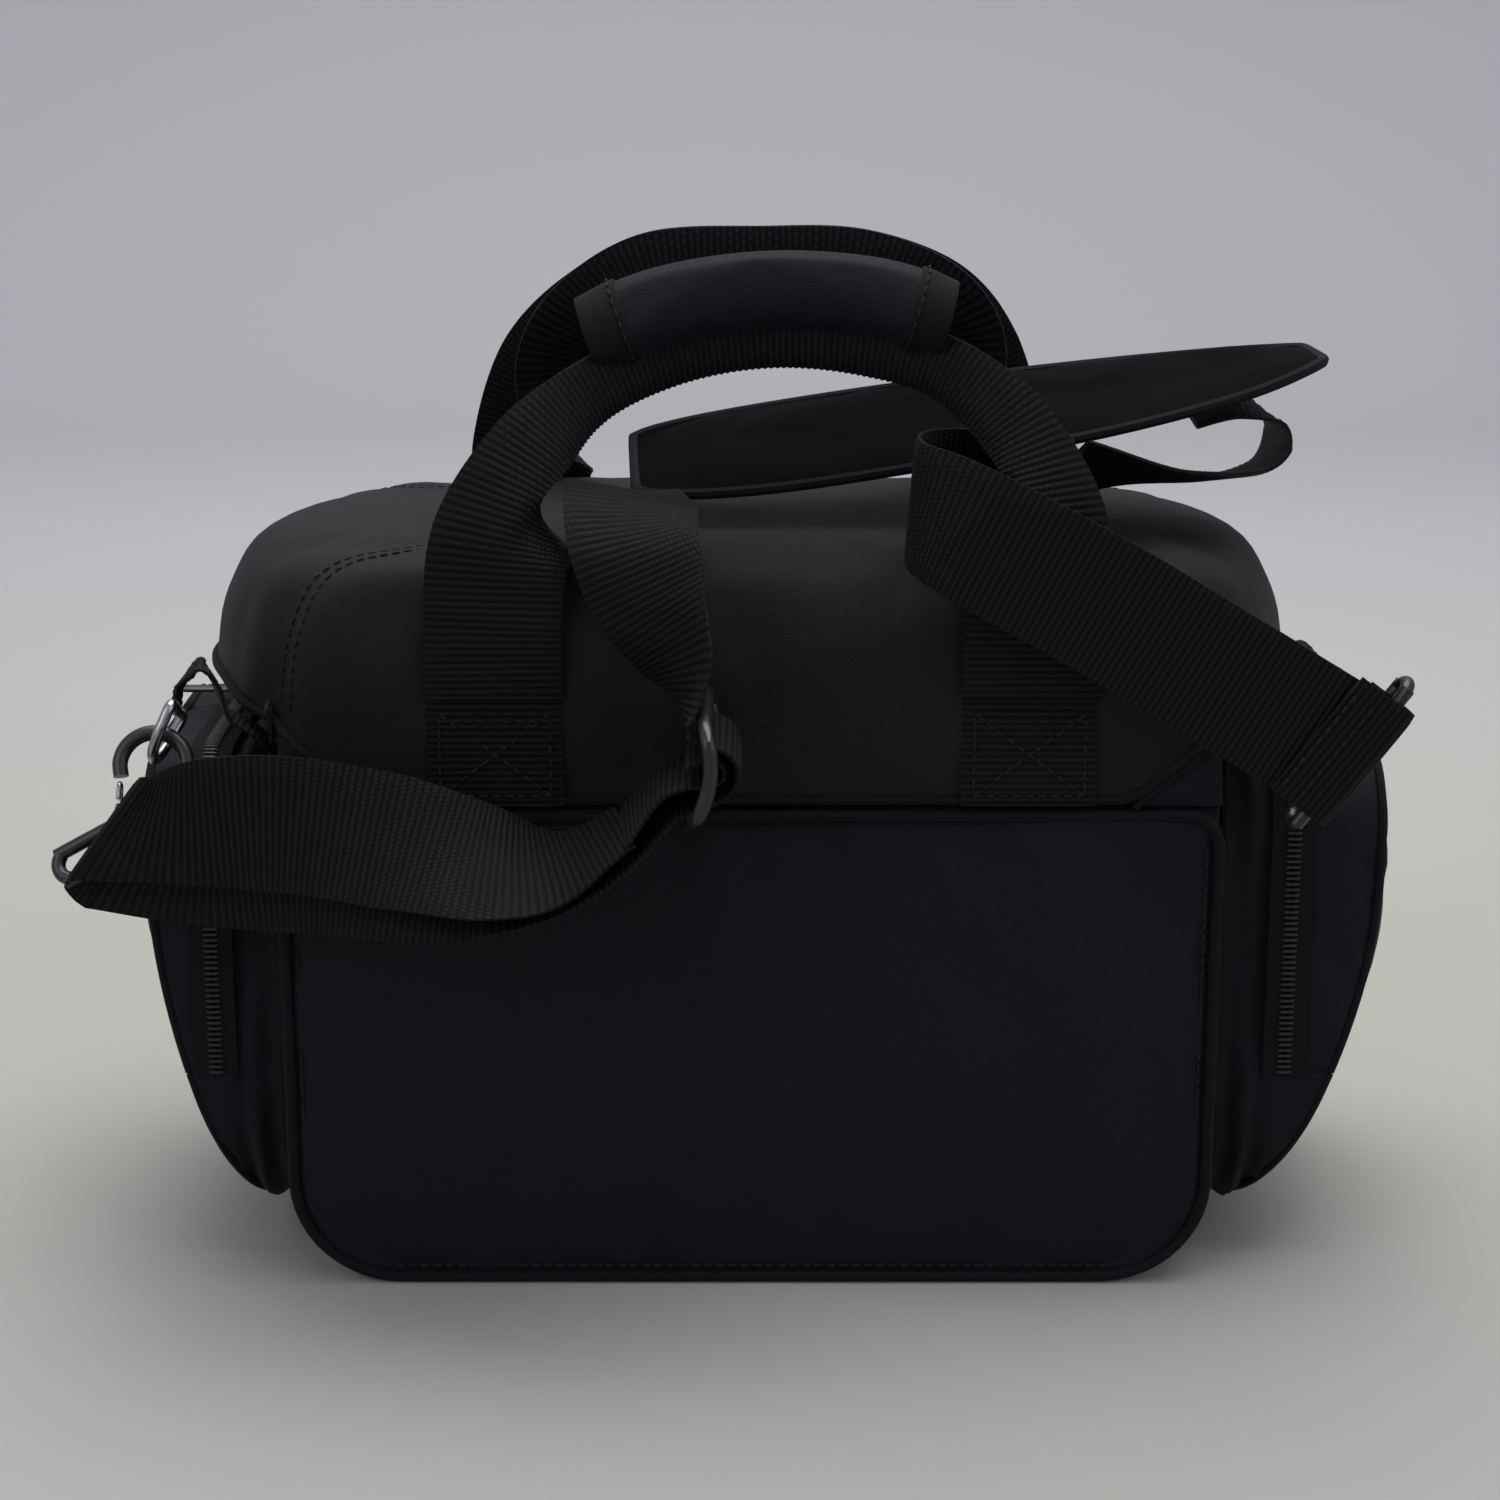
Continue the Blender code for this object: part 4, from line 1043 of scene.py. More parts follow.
def build_slider(name, centre, outward, upward):
    """A moulded slider body with a bridge, and a moulded pull on a steel ring."""
    centre, outward, upward = Vector(centre), Vector(outward), Vector(upward)
    along = outward.cross(upward)

    def local(a, b, c):
        return centre + along * a + upward * b + outward * c

    right = [(0.0034, -0.005), (0.0030, 0.0010), (0.0045, 0.005)]
    outline = [(-a, b) for a, b in reversed(right)] + right
    rings = []
    for c, grow in ((0.0004, 0.94), (0.0009, 1.0), (0.0024, 1.0), (0.0030, 0.93)):
        rings += [local(a * grow, b * grow, c) for a, b in outline]
    body = add_mesh(f"{name}_slider_body", rings, band_faces(4, 6), PLASTIC, 30.0)
    settle(bevelled(body, 0.0003), f"{name}_slider", "plastic", f"{name}_slider")
    rise = ((-0.0034, 0.0028), (-0.0026, 0.0050), (0.0, 0.0058), (0.0026, 0.0050), (0.0034, 0.0028))
    bridge = smooth_path([local(0, b, c) for b, c in rise], 4)
    settle(tube(f"{name}_slider_bridge", bridge, 0.0006, PLASTIC, 8), f"{name}_slider", "plastic")
    hanger = []
    for k in range(13):
        angle = math.radians(90 + 360 * k / 13)
        hanger.append(local(math.cos(angle) * 0.0019, -0.0008 + math.sin(angle) * 0.0024, 0.0050))
    settle(tube(f"{name}_tab_ring", hanger, 0.0005, STEEL, 8, True), f"{name}_tab", "steel")
    rings = []
    for b, wide, thick in PULL_ROWS:
        rings += ring(local(0, b, 0.0053), along * wide, outward * thick, 1.0, 12)
    pull = add_mesh(f"{name}_pull", rings, band_faces(len(PULL_ROWS), 12), PLASTIC)
    settle(finer(pull), f"{name}_tab", "plastic", f"{name}_pull_tab")


def build_sliders():
    for side, sign in (("left", -1), ("right", 1)):
        build_slider(f"lid_zip_{side}", (sign * 0.014, HALF_DEPTH, RIM_HEIGHT), (0, 1, 0), (0, 0, 1))
        x = sign * (HALF_WIDTH + GAP + SIDE_ZIP - 0.0045)
        build_slider(f"{side}_pocket_zip", (x, 0.012, 0.152), (0, 0, 1), (-sign, 0, 0))
    y = HALF_DEPTH + GAP + FRONT_ZIP - 0.0045
    build_slider("front_pocket_zip", (0, y, 0.132), (0, 0, 1), (0, -1, 0))


# Carrying handles

HANDLE_LEFT = -0.071
HANDLE_RIGHT = 0.078
BACK_HANDLE = (
    ((HANDLE_LEFT, -0.0780, 0.1768), (-WEBBING_HALF, 0, 0)),
    ((HANDLE_LEFT, -0.0790, 0.198), (-WEBBING_HALF, 0, 0)),
    ((-0.069, -0.0770, 0.222), (-0.0175, 0, 0.004), 0.12),
    ((-0.060, -0.066, 0.243), (-0.0100, 0, 0.0085), 0.72),
    ((-0.046, -0.049, 0.2570), (-0.0040, 0, 0.0078), 1.0),
    ((-0.022, -0.034, 0.2665), (-0.002, 0, 0.0080), 1.0),
    ((0.006, -0.030, 0.2705), (0, 0, 0.0078), 1.0),
    ((0.034, -0.034, 0.2690), (0.002, 0, 0.0080), 1.0),
    ((0.057, -0.046, 0.2630), (0.0040, 0, 0.0076), 1.0),
    ((0.073, -0.061, 0.248), (0.0095, 0, 0.0075), 0.70),
    ((0.079, -0.0745, 0.226), (0.0185, 0, 0.003), 0.12),
    ((HANDLE_RIGHT, -0.0790, 0.200), (WEBBING_HALF, 0, 0)),
    ((HANDLE_RIGHT, -0.0780, 0.1768), (WEBBING_HALF, 0, 0)),
)
FRONT_HANDLE = (
    ((HANDLE_LEFT, 0.0785, 0.1728), (-WEBBING_HALF, 0, 0)),
    ((HANDLE_LEFT, 0.0800, 0.197), (-WEBBING_HALF, 0, 0)),
    ((-0.071, 0.0765, 0.220), (-0.018, 0, 0.006), 0.1),
    ((-0.064, 0.062, 0.247), (-0.014, 0, 0.0105), 0.5),
    ((-0.050, 0.041, 0.269), (-0.008, 0, 0.0105), 0.9),
    ((-0.030, 0.027, 0.284), (-0.002, 0, 0.0105), 1.0),
    ((0.004, 0.022, 0.287), (0, 0, 0.010), 1.0),
    ((0.034, 0.025, 0.285), (0.002, 0, 0.0105), 1.0),
    ((0.057, 0.038, 0.273), (0.008, 0, 0.0105), 0.9),
    ((0.069, 0.058, 0.252), (0.014, 0, 0.0105), 0.5),
    ((0.0765, 0.0765, 0.222), (0.018, 0, 0.006), 0.1),
    ((HANDLE_RIGHT, 0.0800, 0.197), (WEBBING_HALF, 0, 0)),
    ((HANDLE_RIGHT, 0.0785, 0.1728), (WEBBING_HALF, 0, 0)),
)
GRIP_LINE = (
    (-0.046, -0.041, 0.2725),
    (-0.022, -0.035, 0.2805),
    (0.006, -0.032, 0.2840),
    (0.034, -0.034, 0.2825),
    (0.056, -0.041, 0.2770),
)


def build_anchor(side, end, centre):
    """A handle's sewn end: a length of webbing with a boxed cross of stitches."""
    node = f"{side}_handle_{end}_anchor"
    low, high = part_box(node)
    body, y = ("lid", low.y - 0.0002) if side == "back" else ("body", high.y + 0.0002)
    stations = []
    for z in (low.z, (low.z + high.z) / 2, high.z):
        stations.append(((centre, (low.y + high.y) / 2, z), (WEBBING_HALF, 0, 0)))
    settle(webbing(f"{node}_webbing", stations, ANCHOR_THICK, curl=0.0), body, "webbing", node)
    reach = WEBBING_HALF - 0.0035
    left, right = centre - reach, centre + reach
    bottom, top = low.z + 0.003, high.z - 0.004
    corners = [Vector((x, y, z)) for x, z in ((left, bottom), (right, bottom), (right, top), (left, top))]
    lines = [corners + corners[:1], [corners[0], corners[2]], [corners[1], corners[3]]]
    second = Vector((0, 0, -0.0022))
    lines.append([corners[3] + second, corners[2] + second])
    stitches(f"{node}_stitches", lines, body, radius=THICK_THREAD)


def build_grip():
    """A padded nylon wrap on the near handle, with bound ends."""
    line = smooth_path([Vector(p) for p in GRIP_LINE], 12)
    sides, band_rings = 28, 7
    points = []
    count = len(line)
    across = Vector((0, 1, 0))
    for i, centre in enumerate(line):
        up = (heading(line, i).cross(across) * -1).normalized()
        swell = 1.0 - 0.10 * max(0.0, 1 - min(i, count - 1 - i) / 5)
        for k in range(sides):
            angle = 2 * math.pi * k / sides
            lean = 1.0 + 0.10 * math.sin(angle)
            swing = across * math.cos(angle) * 0.0098 * lean + up * math.sin(angle) * 0.0112
            points.append(centre + swing * swell)
    piece = add_mesh("grip_wrap", points, band_faces(count, sides), NYLON)
    sewn = [i * sides + k for i in (0, 1, 2, count - 3, count - 2, count - 1) for k in range(sides)]
    sewn += [i * sides + k for i in range(count) for k in range(19, 24)]
    inflate(piece, sewn, 2.0, 0.0018, 0.02)
    settle(finer(piece), "back_handle", "nylon", "handle_grip")
    for name, first, seam_ring in (("left", 0, 5), ("right", count - band_rings, 1)):
        rings = []
        for i in range(first, first + band_rings):
            rings += [line[i] + (points[i * sides + k] - line[i]) * 1.075 for k in range(sides)]
        band = add_mesh(f"grip_binding_{name}", rings, band_faces(band_rings, sides), BINDING)
        settle(finer(bevelled(band, 0.0004)), "back_handle", "nylon")
        middle = line[first + 3]
        seam = rings[sides * seam_ring : sides * (seam_ring + 1)]
        seam = [p + (p - middle).normalized() * 0.0004 for p in seam]
        stitches(f"grip_stitches_{name}", [seam + seam[:1]], "back_handle")


def build_handles():
    for side in ("back", "front"):
        for end, centre in (("left", HANDLE_LEFT), ("right", HANDLE_RIGHT)):
            build_anchor(side, end, centre)
    back = webbing("back_handle_webbing", BACK_HANDLE, HANDLE_THICK, -1.0)
    settle(back, "back_handle", "webbing", "back_handle")
    front = webbing("front_handle_webbing", FRONT_HANDLE, HANDLE_THICK, 1.0)
    settle(front, "front_handle", "webbing", "front_handle")
    build_grip()


# The shoulder strap

LEFT_STRAP = (
    ((-0.0200, -0.1020, 0.1545), (0, WEBBING_HALF, 0.001)),
    ((-0.0340, -0.1030, 0.1405), (0, WEBBING_HALF, 0.002)),
    ((-0.0560, -0.1035, 0.1315), (0, 0.0180, 0.006)),
    ((-0.0850, -0.1010, 0.1310), (0, 0.0125, 0.0143)),
    ((-0.1180, -0.0945, 0.1330), (0, 0.0045, 0.0184)),
    ((-0.1500, -0.0865, 0.1310), (0.004, -0.001, 0.0182)),
    ((-0.1748, -0.0841, 0.1345), (0.0114, 0, 0.0168)),
)
LEFT_RUN = (
    ((-0.1750, -0.0920, 0.1432), (0.0112, 0, 0.0150)),
    ((-0.1500, -0.0970, 0.1462), (0.004, 0, 0.0182)),
    ((-0.1250, -0.1020, 0.1470), (0, 0.0025, 0.0187)),
    ((-0.0960, -0.1065, 0.1435), (0, 0.0085, 0.0168)),
    ((-0.0720, -0.1085, 0.1385), (0, 0.0145, 0.0120)),
    ((-0.0520, -0.1060, 0.1370), (0, 0.0180, 0.0055)),
    ((-0.0340, -0.1025, 0.1470), (0, WEBBING_HALF, 0.002)),
)
ADJUSTER_LOOP = (
    LEFT_RUN[-1],
    ((-0.0240, -0.1020, 0.1590), (0, WEBBING_HALF, 0)),
    ((-0.0165, -0.1020, 0.1625), (0, WEBBING_HALF, 0)),
    ((-0.0115, -0.1020, 0.1628), (0, WEBBING_HALF, 0)),
    ((-0.0078, -0.1020, 0.1642), (0, WEBBING_HALF, 0)),
    ((-0.0068, -0.1020, 0.1670), (0, WEBBING_HALF, 0)),
    ((-0.0088, -0.1020, 0.1697), (0, WEBBING_HALF, 0)),
    ((-0.0128, -0.1020, 0.1700), (0, WEBBING_HALF, 0)),
    ((-0.0170, -0.1020, 0.1678), (0, WEBBING_HALF, 0)),
)
ADJUSTER_PASS = (
    LEFT_STRAP[0],
    ((-0.0120, -0.1020, 0.1568), (0, WEBBING_HALF, 0)),
    ((-0.0050, -0.1020, 0.1612), (0, WEBBING_HALF, 0)),
    ((-0.0032, -0.1020, 0.1668), (0, WEBBING_HALF, 0)),
    ((-0.0056, -0.1020, 0.1716), (0, WEBBING_HALF, 0)),
    ((-0.0112, -0.1020, 0.1742), (0, WEBBING_HALF, 0)),
    ((-0.0165, -0.1020, 0.1763), (0, WEBBING_HALF, 0)),
)
LEFT_RISER = (
    ((-0.0165, -0.1020, 0.1763), (0.001, -WEBBING_HALF, 0.001)),
    ((-0.0195, -0.0990, 0.1920), (0.0105, -0.0150, 0.003)),
    ((-0.0265, -0.0925, 0.2075), (0.0160, -0.0085, 0.004)),
    ((-0.0315, -0.0835, 0.2215), (0.0180, -0.003, 0.002)),
    ((-0.0330, -0.0660, 0.2300), (0.0185, 0.001, -0.003)),
    ((-0.0330, -0.0480, 0.2290), (0.0170, 0.006, -0.004)),
    ((-0.0300, -0.0360, 0.2235), (0.0130, 0.012, -0.004)),
)
PAD = (
    ((-0.034, -0.006, 0.2300), (0, -0.0240, -0.0060), 0.0075),
    ((0.006, -0.005, 0.2350), (0, -0.0260, -0.0080), 0.009),
    ((0.050, -0.004, 0.2415), (0, -0.0260, -0.0080), 0.009),
    ((0.100, -0.003, 0.2490), (0, -0.0250, -0.0065), 0.009),
    ((0.140, -0.002, 0.2560), (0, -0.0230, -0.0035), 0.008),
    ((0.166, -0.001, 0.2618), (0, -0.0185, 0), 0.006),
)
RIGHT_LOOP = (
    ((0.1290, -0.004, 0.2450), (0.002, WEBBING_HALF, 0.002)),
    ((0.1440, -0.004, 0.2475), (0.002, WEBBING_HALF, 0.001)),
    ((0.1545, -0.005, 0.2420), (0.000, WEBBING_HALF, -0.002)),
    ((0.1535, -0.007, 0.2325), (-0.002, WEBBING_HALF, -0.004)),
    ((0.1410, -0.011, 0.2275), (-0.006, 0.0178, -0.004)),
    ((0.1150, -0.020, 0.2285), (-0.0075, 0.0168, -0.005)),
    ((0.0880, -0.034, 0.2310), (-0.0066, 0.0130, -0.0125)),
)
RIGHT_RUN = (
    ((0.0868, -0.0346, 0.2310), (-0.0066, 0.0125, -0.0128)),
    ((0.0640, -0.0420, 0.2315), (-0.0040, 0.0060, -0.0155)),
    ((0.0490, -0.0550, 0.2315), (-0.0010, 0.0010, -0.0165)),
    ((0.0450, -0.0760, 0.2310), (-0.0020, 0.0000, -0.0170)),
    ((0.0540, -0.0890, 0.2280), (-0.0065, 0.0000, -0.0168)),
    ((0.0720, -0.0945, 0.2190), (-0.0095, 0.0000, -0.0160)),
    ((0.0950, -0.0950, 0.2065), (-0.0105, 0.0000, -0.0156)),
    ((0.1250, -0.0955, 0.1885), (-0.0110, 0.0000, -0.0153)),
    ((0.1590, -0.0965, 0.1680), (-0.0114, 0.0000, -0.0150)),
)
RIGHT_BAR = Vector((0.1644, -0.0940, 0.1640))
BAR_ALONG = Vector((0.60, 0.0, 0.80))
BAR_ACROSS = Vector((0.80, 0.0, -0.60))


def build_pad():
    """The padded rest: two layers of nylon over foam, bound round the edge and quilted along its length."""
    centres = smooth_path([Vector(s[0]) for s in PAD], 10)
    halves = smooth_path([Vector(s[1]) for s in PAD], 10)
    depths = smooth_path([Vector((s[2], 0, 0)) for s in PAD], 10)
    columns = 14
    wide = 2 * columns + 2
    points = []
    count = len(centres)
    edge_left, edge_right = [], []
    for i, centre in enumerate(centres):
        ahead = heading(centres, i)
        half = halves[i] - ahead * halves[i].dot(ahead)
        end = min(i, count - 1 - i) / 6
        half = half * (1.0 if end >= 1 else 0.80 + 0.20 * math.sqrt(1 - (1 - end) ** 2))
        normal = ahead.cross(half).normalized()
        deep = depths[i].x / 2 * (0.35 + 0.65 * min(1.0, end))
        for face in (1, -1):
            row = []
            for c in range(columns + 1):
                share = -1 + 2 * c / columns
                crown = deep * (1 - abs(share) ** 5) * (0.90 if abs(share) > 0.03 else 0.8)
                row.append(centre + half * share * 0.985 + normal * face * max(crown, 0.0009))
            points += row if face > 0 else list(reversed(row))
        edge_left.append(centre - half)
        edge_right.append(centre + half)
    # The cover is made of the darkened nylon: painted shade.
    piece = add_mesh("shoulder_pad_cover", points, band_faces(count, wide), PAD_NYLON_PAINTED_SHADE)
    sewn = []
    for i in range(count):
        sewn += [i * wide + c for c in (0, columns, columns + 1, wide - 1, columns // 2)]
    inflate(piece, sewn, 2.5, 0.0018, 0.02)
    settle(finer(piece), "lid", "nylon", "shoulder_pad")
    loop = resample(edge_left + list(reversed(edge_right)), 0.004, True)
    settle(tube("shoulder_pad_binding", loop, 0.0017, BINDING, 8, True), "lid", "nylon")


def build_right_end():
    """The strap's sewn end, turned round the hook frame's bar and stitched down."""
    half = BAR_ALONG * (WEBBING_HALF + 0.0005)
    route = ((-0.0135, -0.0046), (-0.0060, -0.0048), (0.0010, -0.0044), (0.0045, -0.0030))
    route += ((0.0052, 0.0), (0.0035, 0.0032), (-0.0020, 0.0036), (-0.0080, 0.0034))
    stations = [(RIGHT_BAR + BAR_ACROSS * along + Vector((0, deep, 0)), half) for along, deep in route]
    settle(webbing("strap_right_end", stations, curl=0.0), "body", "webbing")
    lines = []
    for along in (-0.0120, -0.0060):
        middle = RIGHT_BAR + BAR_ACROSS * along + Vector((0, -0.0058, 0))
        lines.append([middle - half * 0.86, middle + half * 0.86])
    stitches("strap_right_end_stitches", lines, "body", radius=THICK_THREAD)


def build_strap():
    for name, stations, node, slant in (
        ("strap_left_return_webbing", LEFT_STRAP, "strap_left_return", (0.0, 0.03)),
        ("strap_left_run_webbing", LEFT_RUN, "strap_left_run", (0.03, 0.0)),
    ):
        piece = webbing(name, stations, slant=slant)
        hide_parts(node)
        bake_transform(piece)
    loop = webbing("strap_adjuster_loop", ADJUSTER_LOOP, curl=0.0)
    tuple(ADJUSTER_LOOP[0][0])
    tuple(ADJUSTER_LOOP[2][0])
    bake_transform(loop)
    settle(webbing("strap_adjuster_pass", ADJUSTER_PASS, curl=0.0), "lid", "webbing")
    settle(webbing("strap_left_riser_webbing", LEFT_RISER), "lid", "webbing", "strap_left_riser")
    settle(webbing("strap_right_loop_webbing", RIGHT_LOOP), "lid", "webbing", "strap_right_loop")
    run = webbing("strap_right_run_webbing", RIGHT_RUN)
    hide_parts("strap_right_run")
    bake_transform(run)
    build_pad()
    build_right_end()
    build_left_fold()


def build_left_fold():
    """The bend of the left strap round the hook frame's bar, which joins its two runs."""
    back_half, face_half = Vector(LEFT_STRAP[-1][1]), Vector(LEFT_RUN[0][1])
    stations = (
        LEFT_STRAP[-1],
        ((-0.1776, -0.0852, 0.1372), back_half),
        ((-0.1792, -0.0884, 0.1404), (back_half + face_half) / 2),
        ((-0.1776, -0.0914, 0.1426), face_half),
        LEFT_RUN[0],
    )
    settle(webbing("strap_left_fold", stations, curl=0.0, slant=(1.0, 1.0)), "body", "webbing")


# Hooks, rings and the adjuster

ADJUSTER = Vector((-0.0135, -0.1020, 0.1665))
FRAME_ROD = 0.0020
SLOT_HALF_HEIGHT = 0.0042
HOOK_ROD = 0.0022
HOOK_RADIUS = 0.0095
HOLE_HEIGHT = 0.017
RING_ROD = 0.0016
RING_REACH = 0.0150
RING_HALF_WIDTH = 0.0080
STRAP_ENDS = {
    "left": {
        "sign": -1,
        "bar": Vector((-0.1752, -0.0885, 0.1427)),
        "slot_along": Vector((0.88, 0.0, 0.475)),
        "slot_up": Vector((-0.25, 0.55, 0.80)),
        "slot_shift": Vector((0.0062, 0.0, -0.0047)),
        "hook_up": Vector((0.10, 0.45, 0.89)),
        "gate_side": Vector((-1, 0, 0)),
        "hole_shift": -0.003,
        "ring_bar": Vector((-0.1622, -0.0620, 0.1690)),
        "ring_along": Vector((0, -0.893, 0.45)),
        "ring_out": Vector((-0.40, -0.45, -0.80)),
    },
    "right": {
        "sign": 1,
        "bar": RIGHT_BAR,
        "slot_along": BAR_ALONG,
        "slot_up": Vector((0, 1, 0)),
        "slot_shift": Vector((0, 0, 0)),
        "hook_up": Vector((0, 0.97, -0.25)),
        "gate_side": Vector((0, -0.25, -0.97)),
        "hole_shift": 0.0,
        "ring_bar": Vector((0.1640, -0.0620, 0.1735)),
        "ring_along": Vector((0.7, -0.7, 0)),
        "ring_out": Vector((-0.10, -0.10, -0.98)),
    },
}


def square_to(direction, main):
    return (direction - main * direction.dot(main)).normalized()


def closed_path(points, steps):
    """A smooth closed curve through the points."""
    wrapped = smooth_path([points[-1], *points, points[0], points[1]], steps)
    return wrapped[steps : steps * (len(points) + 1)]


def ring_axes(end):
    along = end["ring_along"].normalized()
    return end["ring_bar"], along, square_to(end["ring_out"], along)


def build_ring(side, end):
    """The D-shaped ring, and the webbing tab that carries it over the side seam."""
    bar, along, out = ring_axes(end)
    loop = [bar - along * RING_HALF_WIDTH, bar, bar + along * RING_HALF_WIDTH]
    for k in range(12):
        angle = math.radians(8 + 164 * k / 11)
        reach = 0.0035 + (RING_REACH - 0.0035) * math.sin(angle)
        loop.append(bar + along * math.cos(angle) * RING_HALF_WIDTH + out * reach)
    ring = tube(f"{side}_ring", closed_path(loop, 4), RING_ROD, STEEL, 14, True)
    settle(ring, f"{side}_ring", "steel", f"{side}_d_ring")
    sign = end["sign"]
    half = RING_HALF_WIDTH - RING_ROD - 0.0009
    wall = HALF_WIDTH + 0.0012
    above = square_to(Vector((0, 0, 1)), along)
    turns = (
        (Vector((sign * wall, -0.0600, 0.1500)), 0.0),
        (Vector((sign * wall, -0.0600, 0.1560)), 0.0),
        (Vector((sign * 0.1400, -0.0602, 0.1622)), 0.0),
        (Vector((sign * 0.1480, -0.0604, 0.1680)), 0.1),
        (Vector((sign * 0.1512, -0.0608, bar.z + 0.0080)), 0.15),
        (Vector((sign * 0.1552, -0.0614, bar.z + 0.0128)), 0.3),
        (bar + above * 0.0078 - Vector((sign * 0.0010, 0, 0)), 0.8),
        (bar + above * (RING_ROD + 0.0006), 1.0),
    )
    stations = []
    for centre, turn in turns:
        lean = min(1.0, turn * 6)
        flat = Vector((-sign * 0.49 * lean, -0.8, -0.35 * lean))
        stations.append((centre, flat.lerp(along, turn).normalized() * half))
    tab = webbing(f"{side}_ring_webbing", stations, TAB_THICK, curl=0.0)
    settle(tab, "body", "webbing", f"{side}_ring_tab")


def build_hook(side, end):
    """A snap hook: a slotted frame for the webbing, a post, a curled nose and a sprung wire gate."""
    slot_along = end["slot_along"].normalized()
    slot_up = square_to(end["slot_up"], slot_along)
    centre = end["bar"] + slot_up * SLOT_HALF_HEIGHT + end["slot_shift"]
    outline = []
    for sign in (1, -1):
        for k in range(9):
            angle = math.radians(-90 + 180 * k / 8)
            reach = slot_along * (WEBBING_HALF + 0.0015 + SLOT_HALF_HEIGHT * math.cos(angle))
            outline.append(centre + (reach + slot_up * SLOT_HALF_HEIGHT * math.sin(angle)) * sign)
    frame_loop = tube(f"{side}_hook_loop", closed_path(outline, 3), FRAME_ROD, PLASTIC, 14, True)
    settle(frame_loop, "body", "plastic", f"{side}_hook_frame")
    bar, along, out = ring_axes(end)
    up = end["hook_up"].normalized()
    lateral = square_to(end["gate_side"], up)
    normal = up.cross(lateral)
    foot = bar + out * (RING_REACH - 0.001) + up * (end["hole_shift"] - HOLE_HEIGHT)
    shoulder = centre + slot_up * SLOT_HALF_HEIGHT
    top = foot - up * 0.0016
    low = shoulder + (top - shoulder).normalized() * (FRAME_ROD * 0.4)
    post = tube(f"{side}_hook_stem", [low, low.lerp(top, 0.5), top], 0.0018, PLASTIC, 14)
    settle(post, "body", "plastic", f"{side}_hook_post")
    height = HOOK_ROD * 1.4
    flat = [(0.0086, height), (0.0040, height), (-0.0030, height), (-0.0072, height + 0.0016)]
    flat += [(-0.0092, height + 0.0056), (-HOOK_RADIUS, height + 0.0100)]
    for k in range(9):
        angle = math.radians(180 - 205 * k / 8)
        flat.append((HOOK_RADIUS * math.cos(angle), HOLE_HEIGHT + HOOK_RADIUS * math.sin(angle)))
    line = smooth_path([foot + lateral * a + up * b for a, b in flat], 6)
    nose = tube(f"{side}_hook_curl", line, HOOK_ROD, PLASTIC, 14)
    settle(nose, f"{side}_hook", "plastic", f"{side}_hook_nose")
    wire = 0.0007
    gate_foot = foot + lateral * 0.0082 + up * (height + HOOK_ROD + wire + GAP)
    rise = line[-1] - up * (HOOK_ROD * 0.5 + wire + GAP) - gate_foot
    loop = []
    for share, wide in ((0, -1), (0.5, -0.8), (0.9, -0.6), (1, 0), (0.9, 0.6), (0.5, 0.8), (0, 1)):
        loop.append(gate_foot + rise * share + normal * 0.0018 * wide)
    gate = tube(f"{side}_gate_wire", smooth_path(loop, 5), wire, STEEL, 10)
    settle(gate, f"{side}_gate", "steel", f"{side}_hook_gate")


def build_adjuster():
    """The three-bar slide: a bowed frame, and the bar the webbing turns round."""
    reach, tall, thick = 0.0235, 0.0135, 0.0021
    along = Vector((0, 1, 0))
    up = Vector((0.12, 0, 0.99)).normalized()
    out = up.cross(along)
    loop = []
    for k in range(40):
        angle = 2 * math.pi * k / 40
        a = max(-1.0, min(1.0, 1.25 * math.cos(angle)))
        b = max(-1.0, min(1.0, 1.25 * math.sin(angle)))
        loop.append(ADJUSTER + along * a * reach + up * b * tall - out * 0.003 * (1 - b * b))
    slide = tube("adjuster_frame", loop, thick, PLASTIC, 14, True)
    settle(slide, "adjuster", "plastic", "strap_adjuster")
    middle = ADJUSTER - out * 0.003
    ends = [middle - along * reach, middle, middle + along * reach]
    settle(tube("adjuster_bar", ends, 0.0016, PLASTIC, 14), "adjuster", "plastic", "strap_adjuster_bar")


def build_hardware():
    for side, end in STRAP_ENDS.items():
        build_ring(side, end)
        build_hook(side, end)
    build_adjuster()


# Stage, light and camera

# Painted light: colours of the one sheet of paper from front to back, lighter further back where the lamps'
# light falls off, greenish where the overhead lamp lights the floor and lavender up the wall.
FLOOR_NEAR = (0.345, 0.350, 0.352)
FLOOR_FAR = (0.385, 0.392, 0.360)
WALL = (0.470, 0.465, 0.500)
SKY = (0.86, 0.83, 0.88)
SKY_STRENGTH = 0.52
# Name, place, aim, size, power and colour
LAMPS = (
    ("overhead", (0.1, 0.15, 1.5), (0, 0, 0.1), (1.4, 1.0), 21.0, (0.97, 1.0, 0.93)),
    ("window", (-1.3, -1.2, 1.1), (0, 0, 0.12), (1.2, 1.2), 7.0, (0.92, 0.92, 1.0)),
    ("fill", (1.4, -1.0, 0.8), (0, 0, 0.12), (1.0, 1.0), 3.5, (0.94, 0.94, 1.0)),
    ("backdrop", (0, 1.4, 1.7), (0, 1.4, 0), (3.0, 1.4), 9.0, (0.99, 0.98, 1.0)),
)
CAMERA_PLACE = (0.0, -0.896, 0.381)
CAMERA_PITCH = 15
FOCAL_LENGTH = 73.0
SENSOR_WIDTH = 36.0


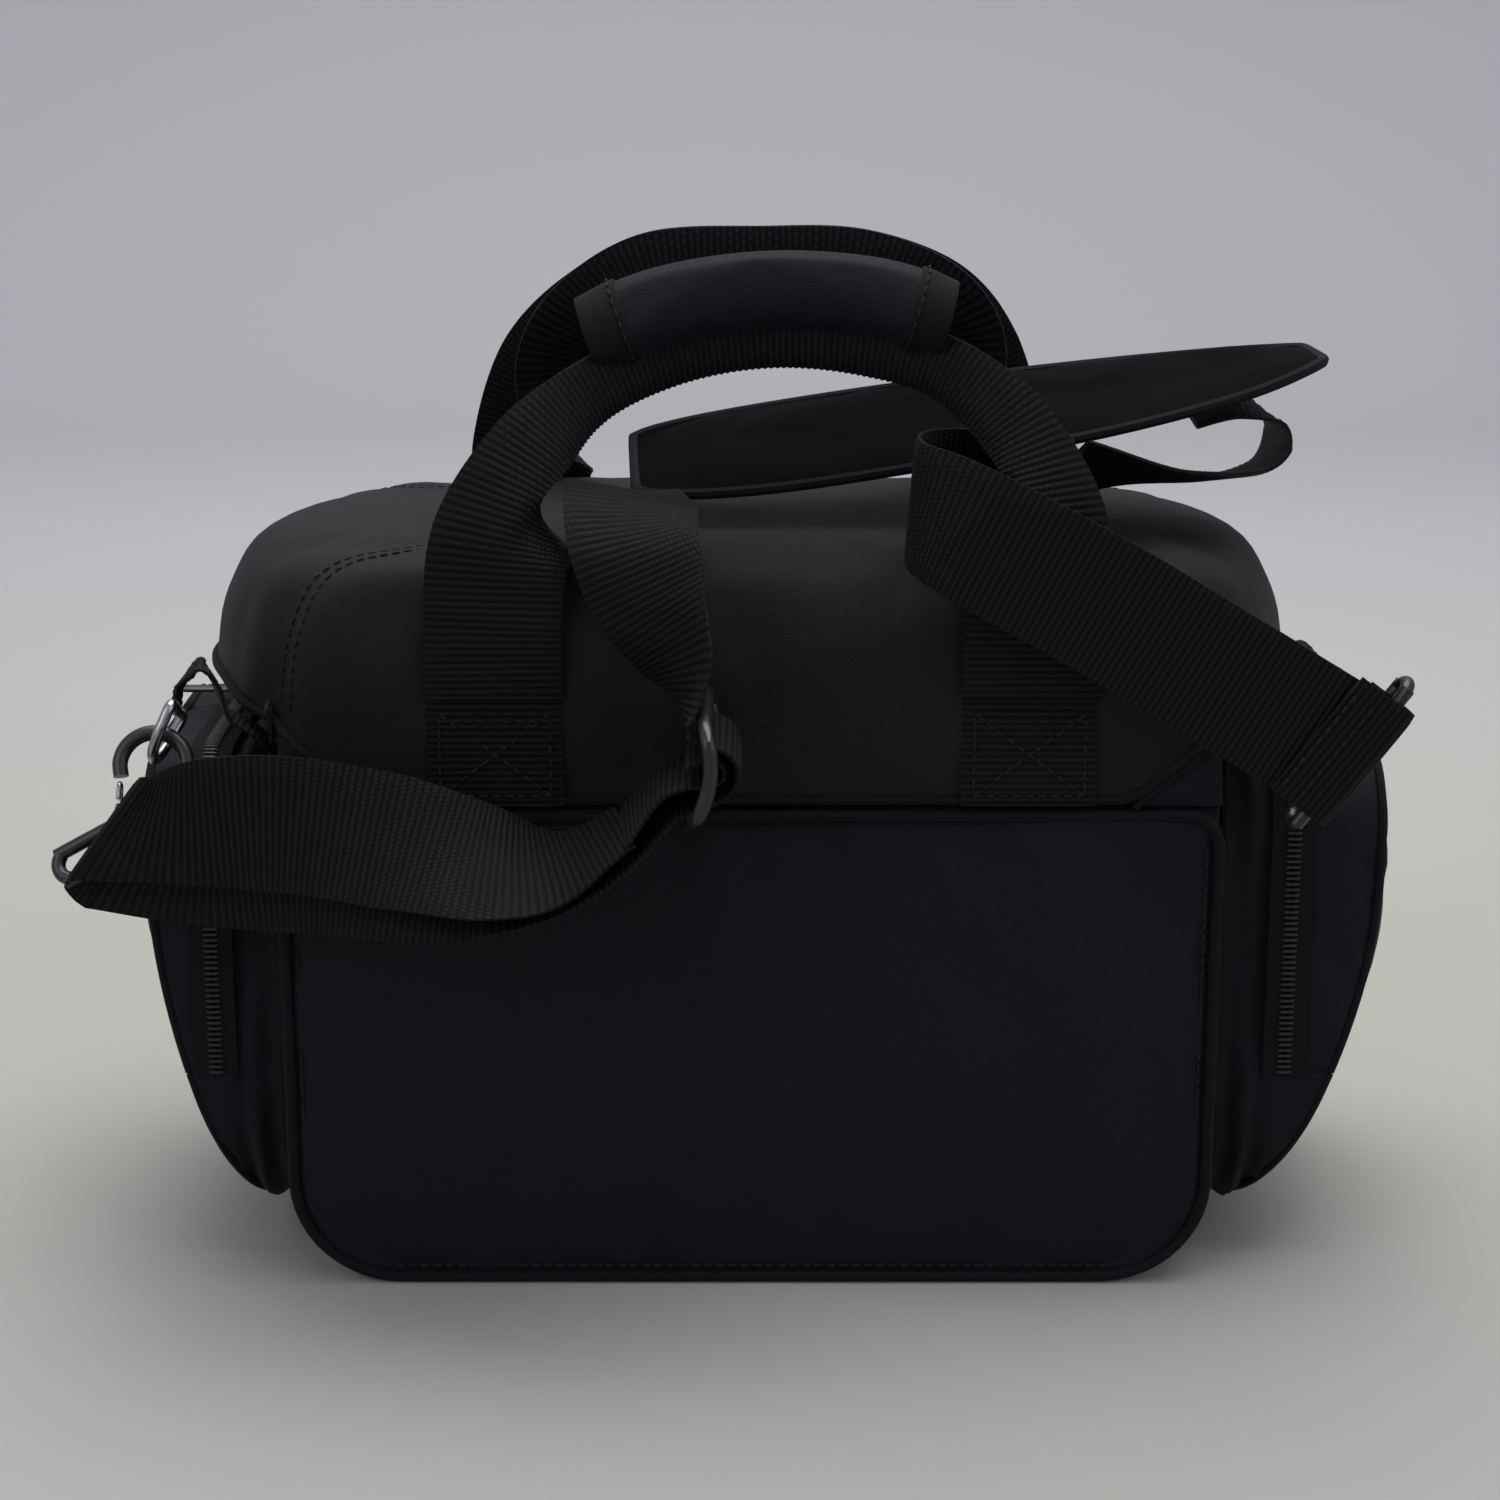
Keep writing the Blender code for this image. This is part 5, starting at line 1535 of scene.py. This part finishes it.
def build_stage():
    """A pale floor that curves up into a pale wall, with painted light: the paper gets lighter the further
    back it is, greenish over the middle of the floor and lavender beyond it and up the wall.
    """
    half, floor_start, floor_end, radius, high, below = 3.5, -2.2, 1.5, 0.5, 2.6, 0.0002
    profile = [(floor_start, 0.0), (floor_end, 0.0)]
    profile += [(floor_end + y, radius + z) for y, z in arc((0, 0), radius, -90, 0, 16)[1:]]
    profile.append((floor_end + radius, high))
    points, faces = [], []
    for y, z in profile:
        points += [(-half, y, z - below), (half, y, z - below)]
    for i in range(len(profile) - 1):
        faces.append([2 * i, 2 * i + 1, 2 * i + 3, 2 * i + 2])
    finish = Finish("studio_paper", 0.8)
    # Painted light: the colour gets lighter with distance back, in place of lamp light there.
    _, depth, _ = finish.split(finish.coordinates("Object"))
    on_floor = finish.spread(depth, 0.0, 1.0, -0.30, 0.15)
    on_wall = finish.spread(depth, 0.0, 1.0, 0.25, 1.10)
    floor = finish.colour(on_floor, FLOOR_NEAR, FLOOR_FAR)
    wall = finish.colour(on_wall, FLOOR_FAR, WALL)
    finish.feed(wall.inputs["A"], floor.outputs["Result"])
    add_mesh("studio_floor", points, faces, finish.material)


def area_light(name, place, aim, size, power, colour):
    light = bpy.data.lights.new(name, "AREA")
    light.shape = "RECTANGLE"
    light.size, light.size_y = size
    light.energy = power
    light.color = colour
    lamp = bpy.data.objects.new(name, light)
    lamp.location = place
    lamp.rotation_euler = (Vector(aim) - Vector(place)).to_track_quat("-Z", "Y").to_euler()
    bpy.context.scene.collection.objects.link(lamp)


def build_lights():
    for lamp in LAMPS:
        area_light(*lamp)
    world = bpy.data.worlds.new("studio")
    world.use_nodes = True
    sky = world.node_tree.nodes["Background"]
    sky.inputs["Color"].default_value = (*SKY, 1.0)
    sky.inputs["Strength"].default_value = SKY_STRENGTH
    bpy.context.scene.world = world


def build_camera():
    camera = bpy.data.cameras.new("camera")
    camera.sensor_width = SENSOR_WIDTH
    camera.lens = FOCAL_LENGTH
    holder = bpy.data.objects.new("camera", camera)
    holder.location = CAMERA_PLACE
    holder.rotation_euler = (math.radians(90 - CAMERA_PITCH), 0, 0)
    bpy.context.scene.collection.objects.link(holder)
    bpy.context.scene.camera = holder
    bpy.context.scene.view_settings.view_transform = "Standard"


build_camera()
build_stage()
build_lights()
build_walls()
build_gusset()
build_interior()
build_lid()
build_pockets()
build_lid_zip()
build_sliders()
build_handles()
build_strap()
build_hardware()
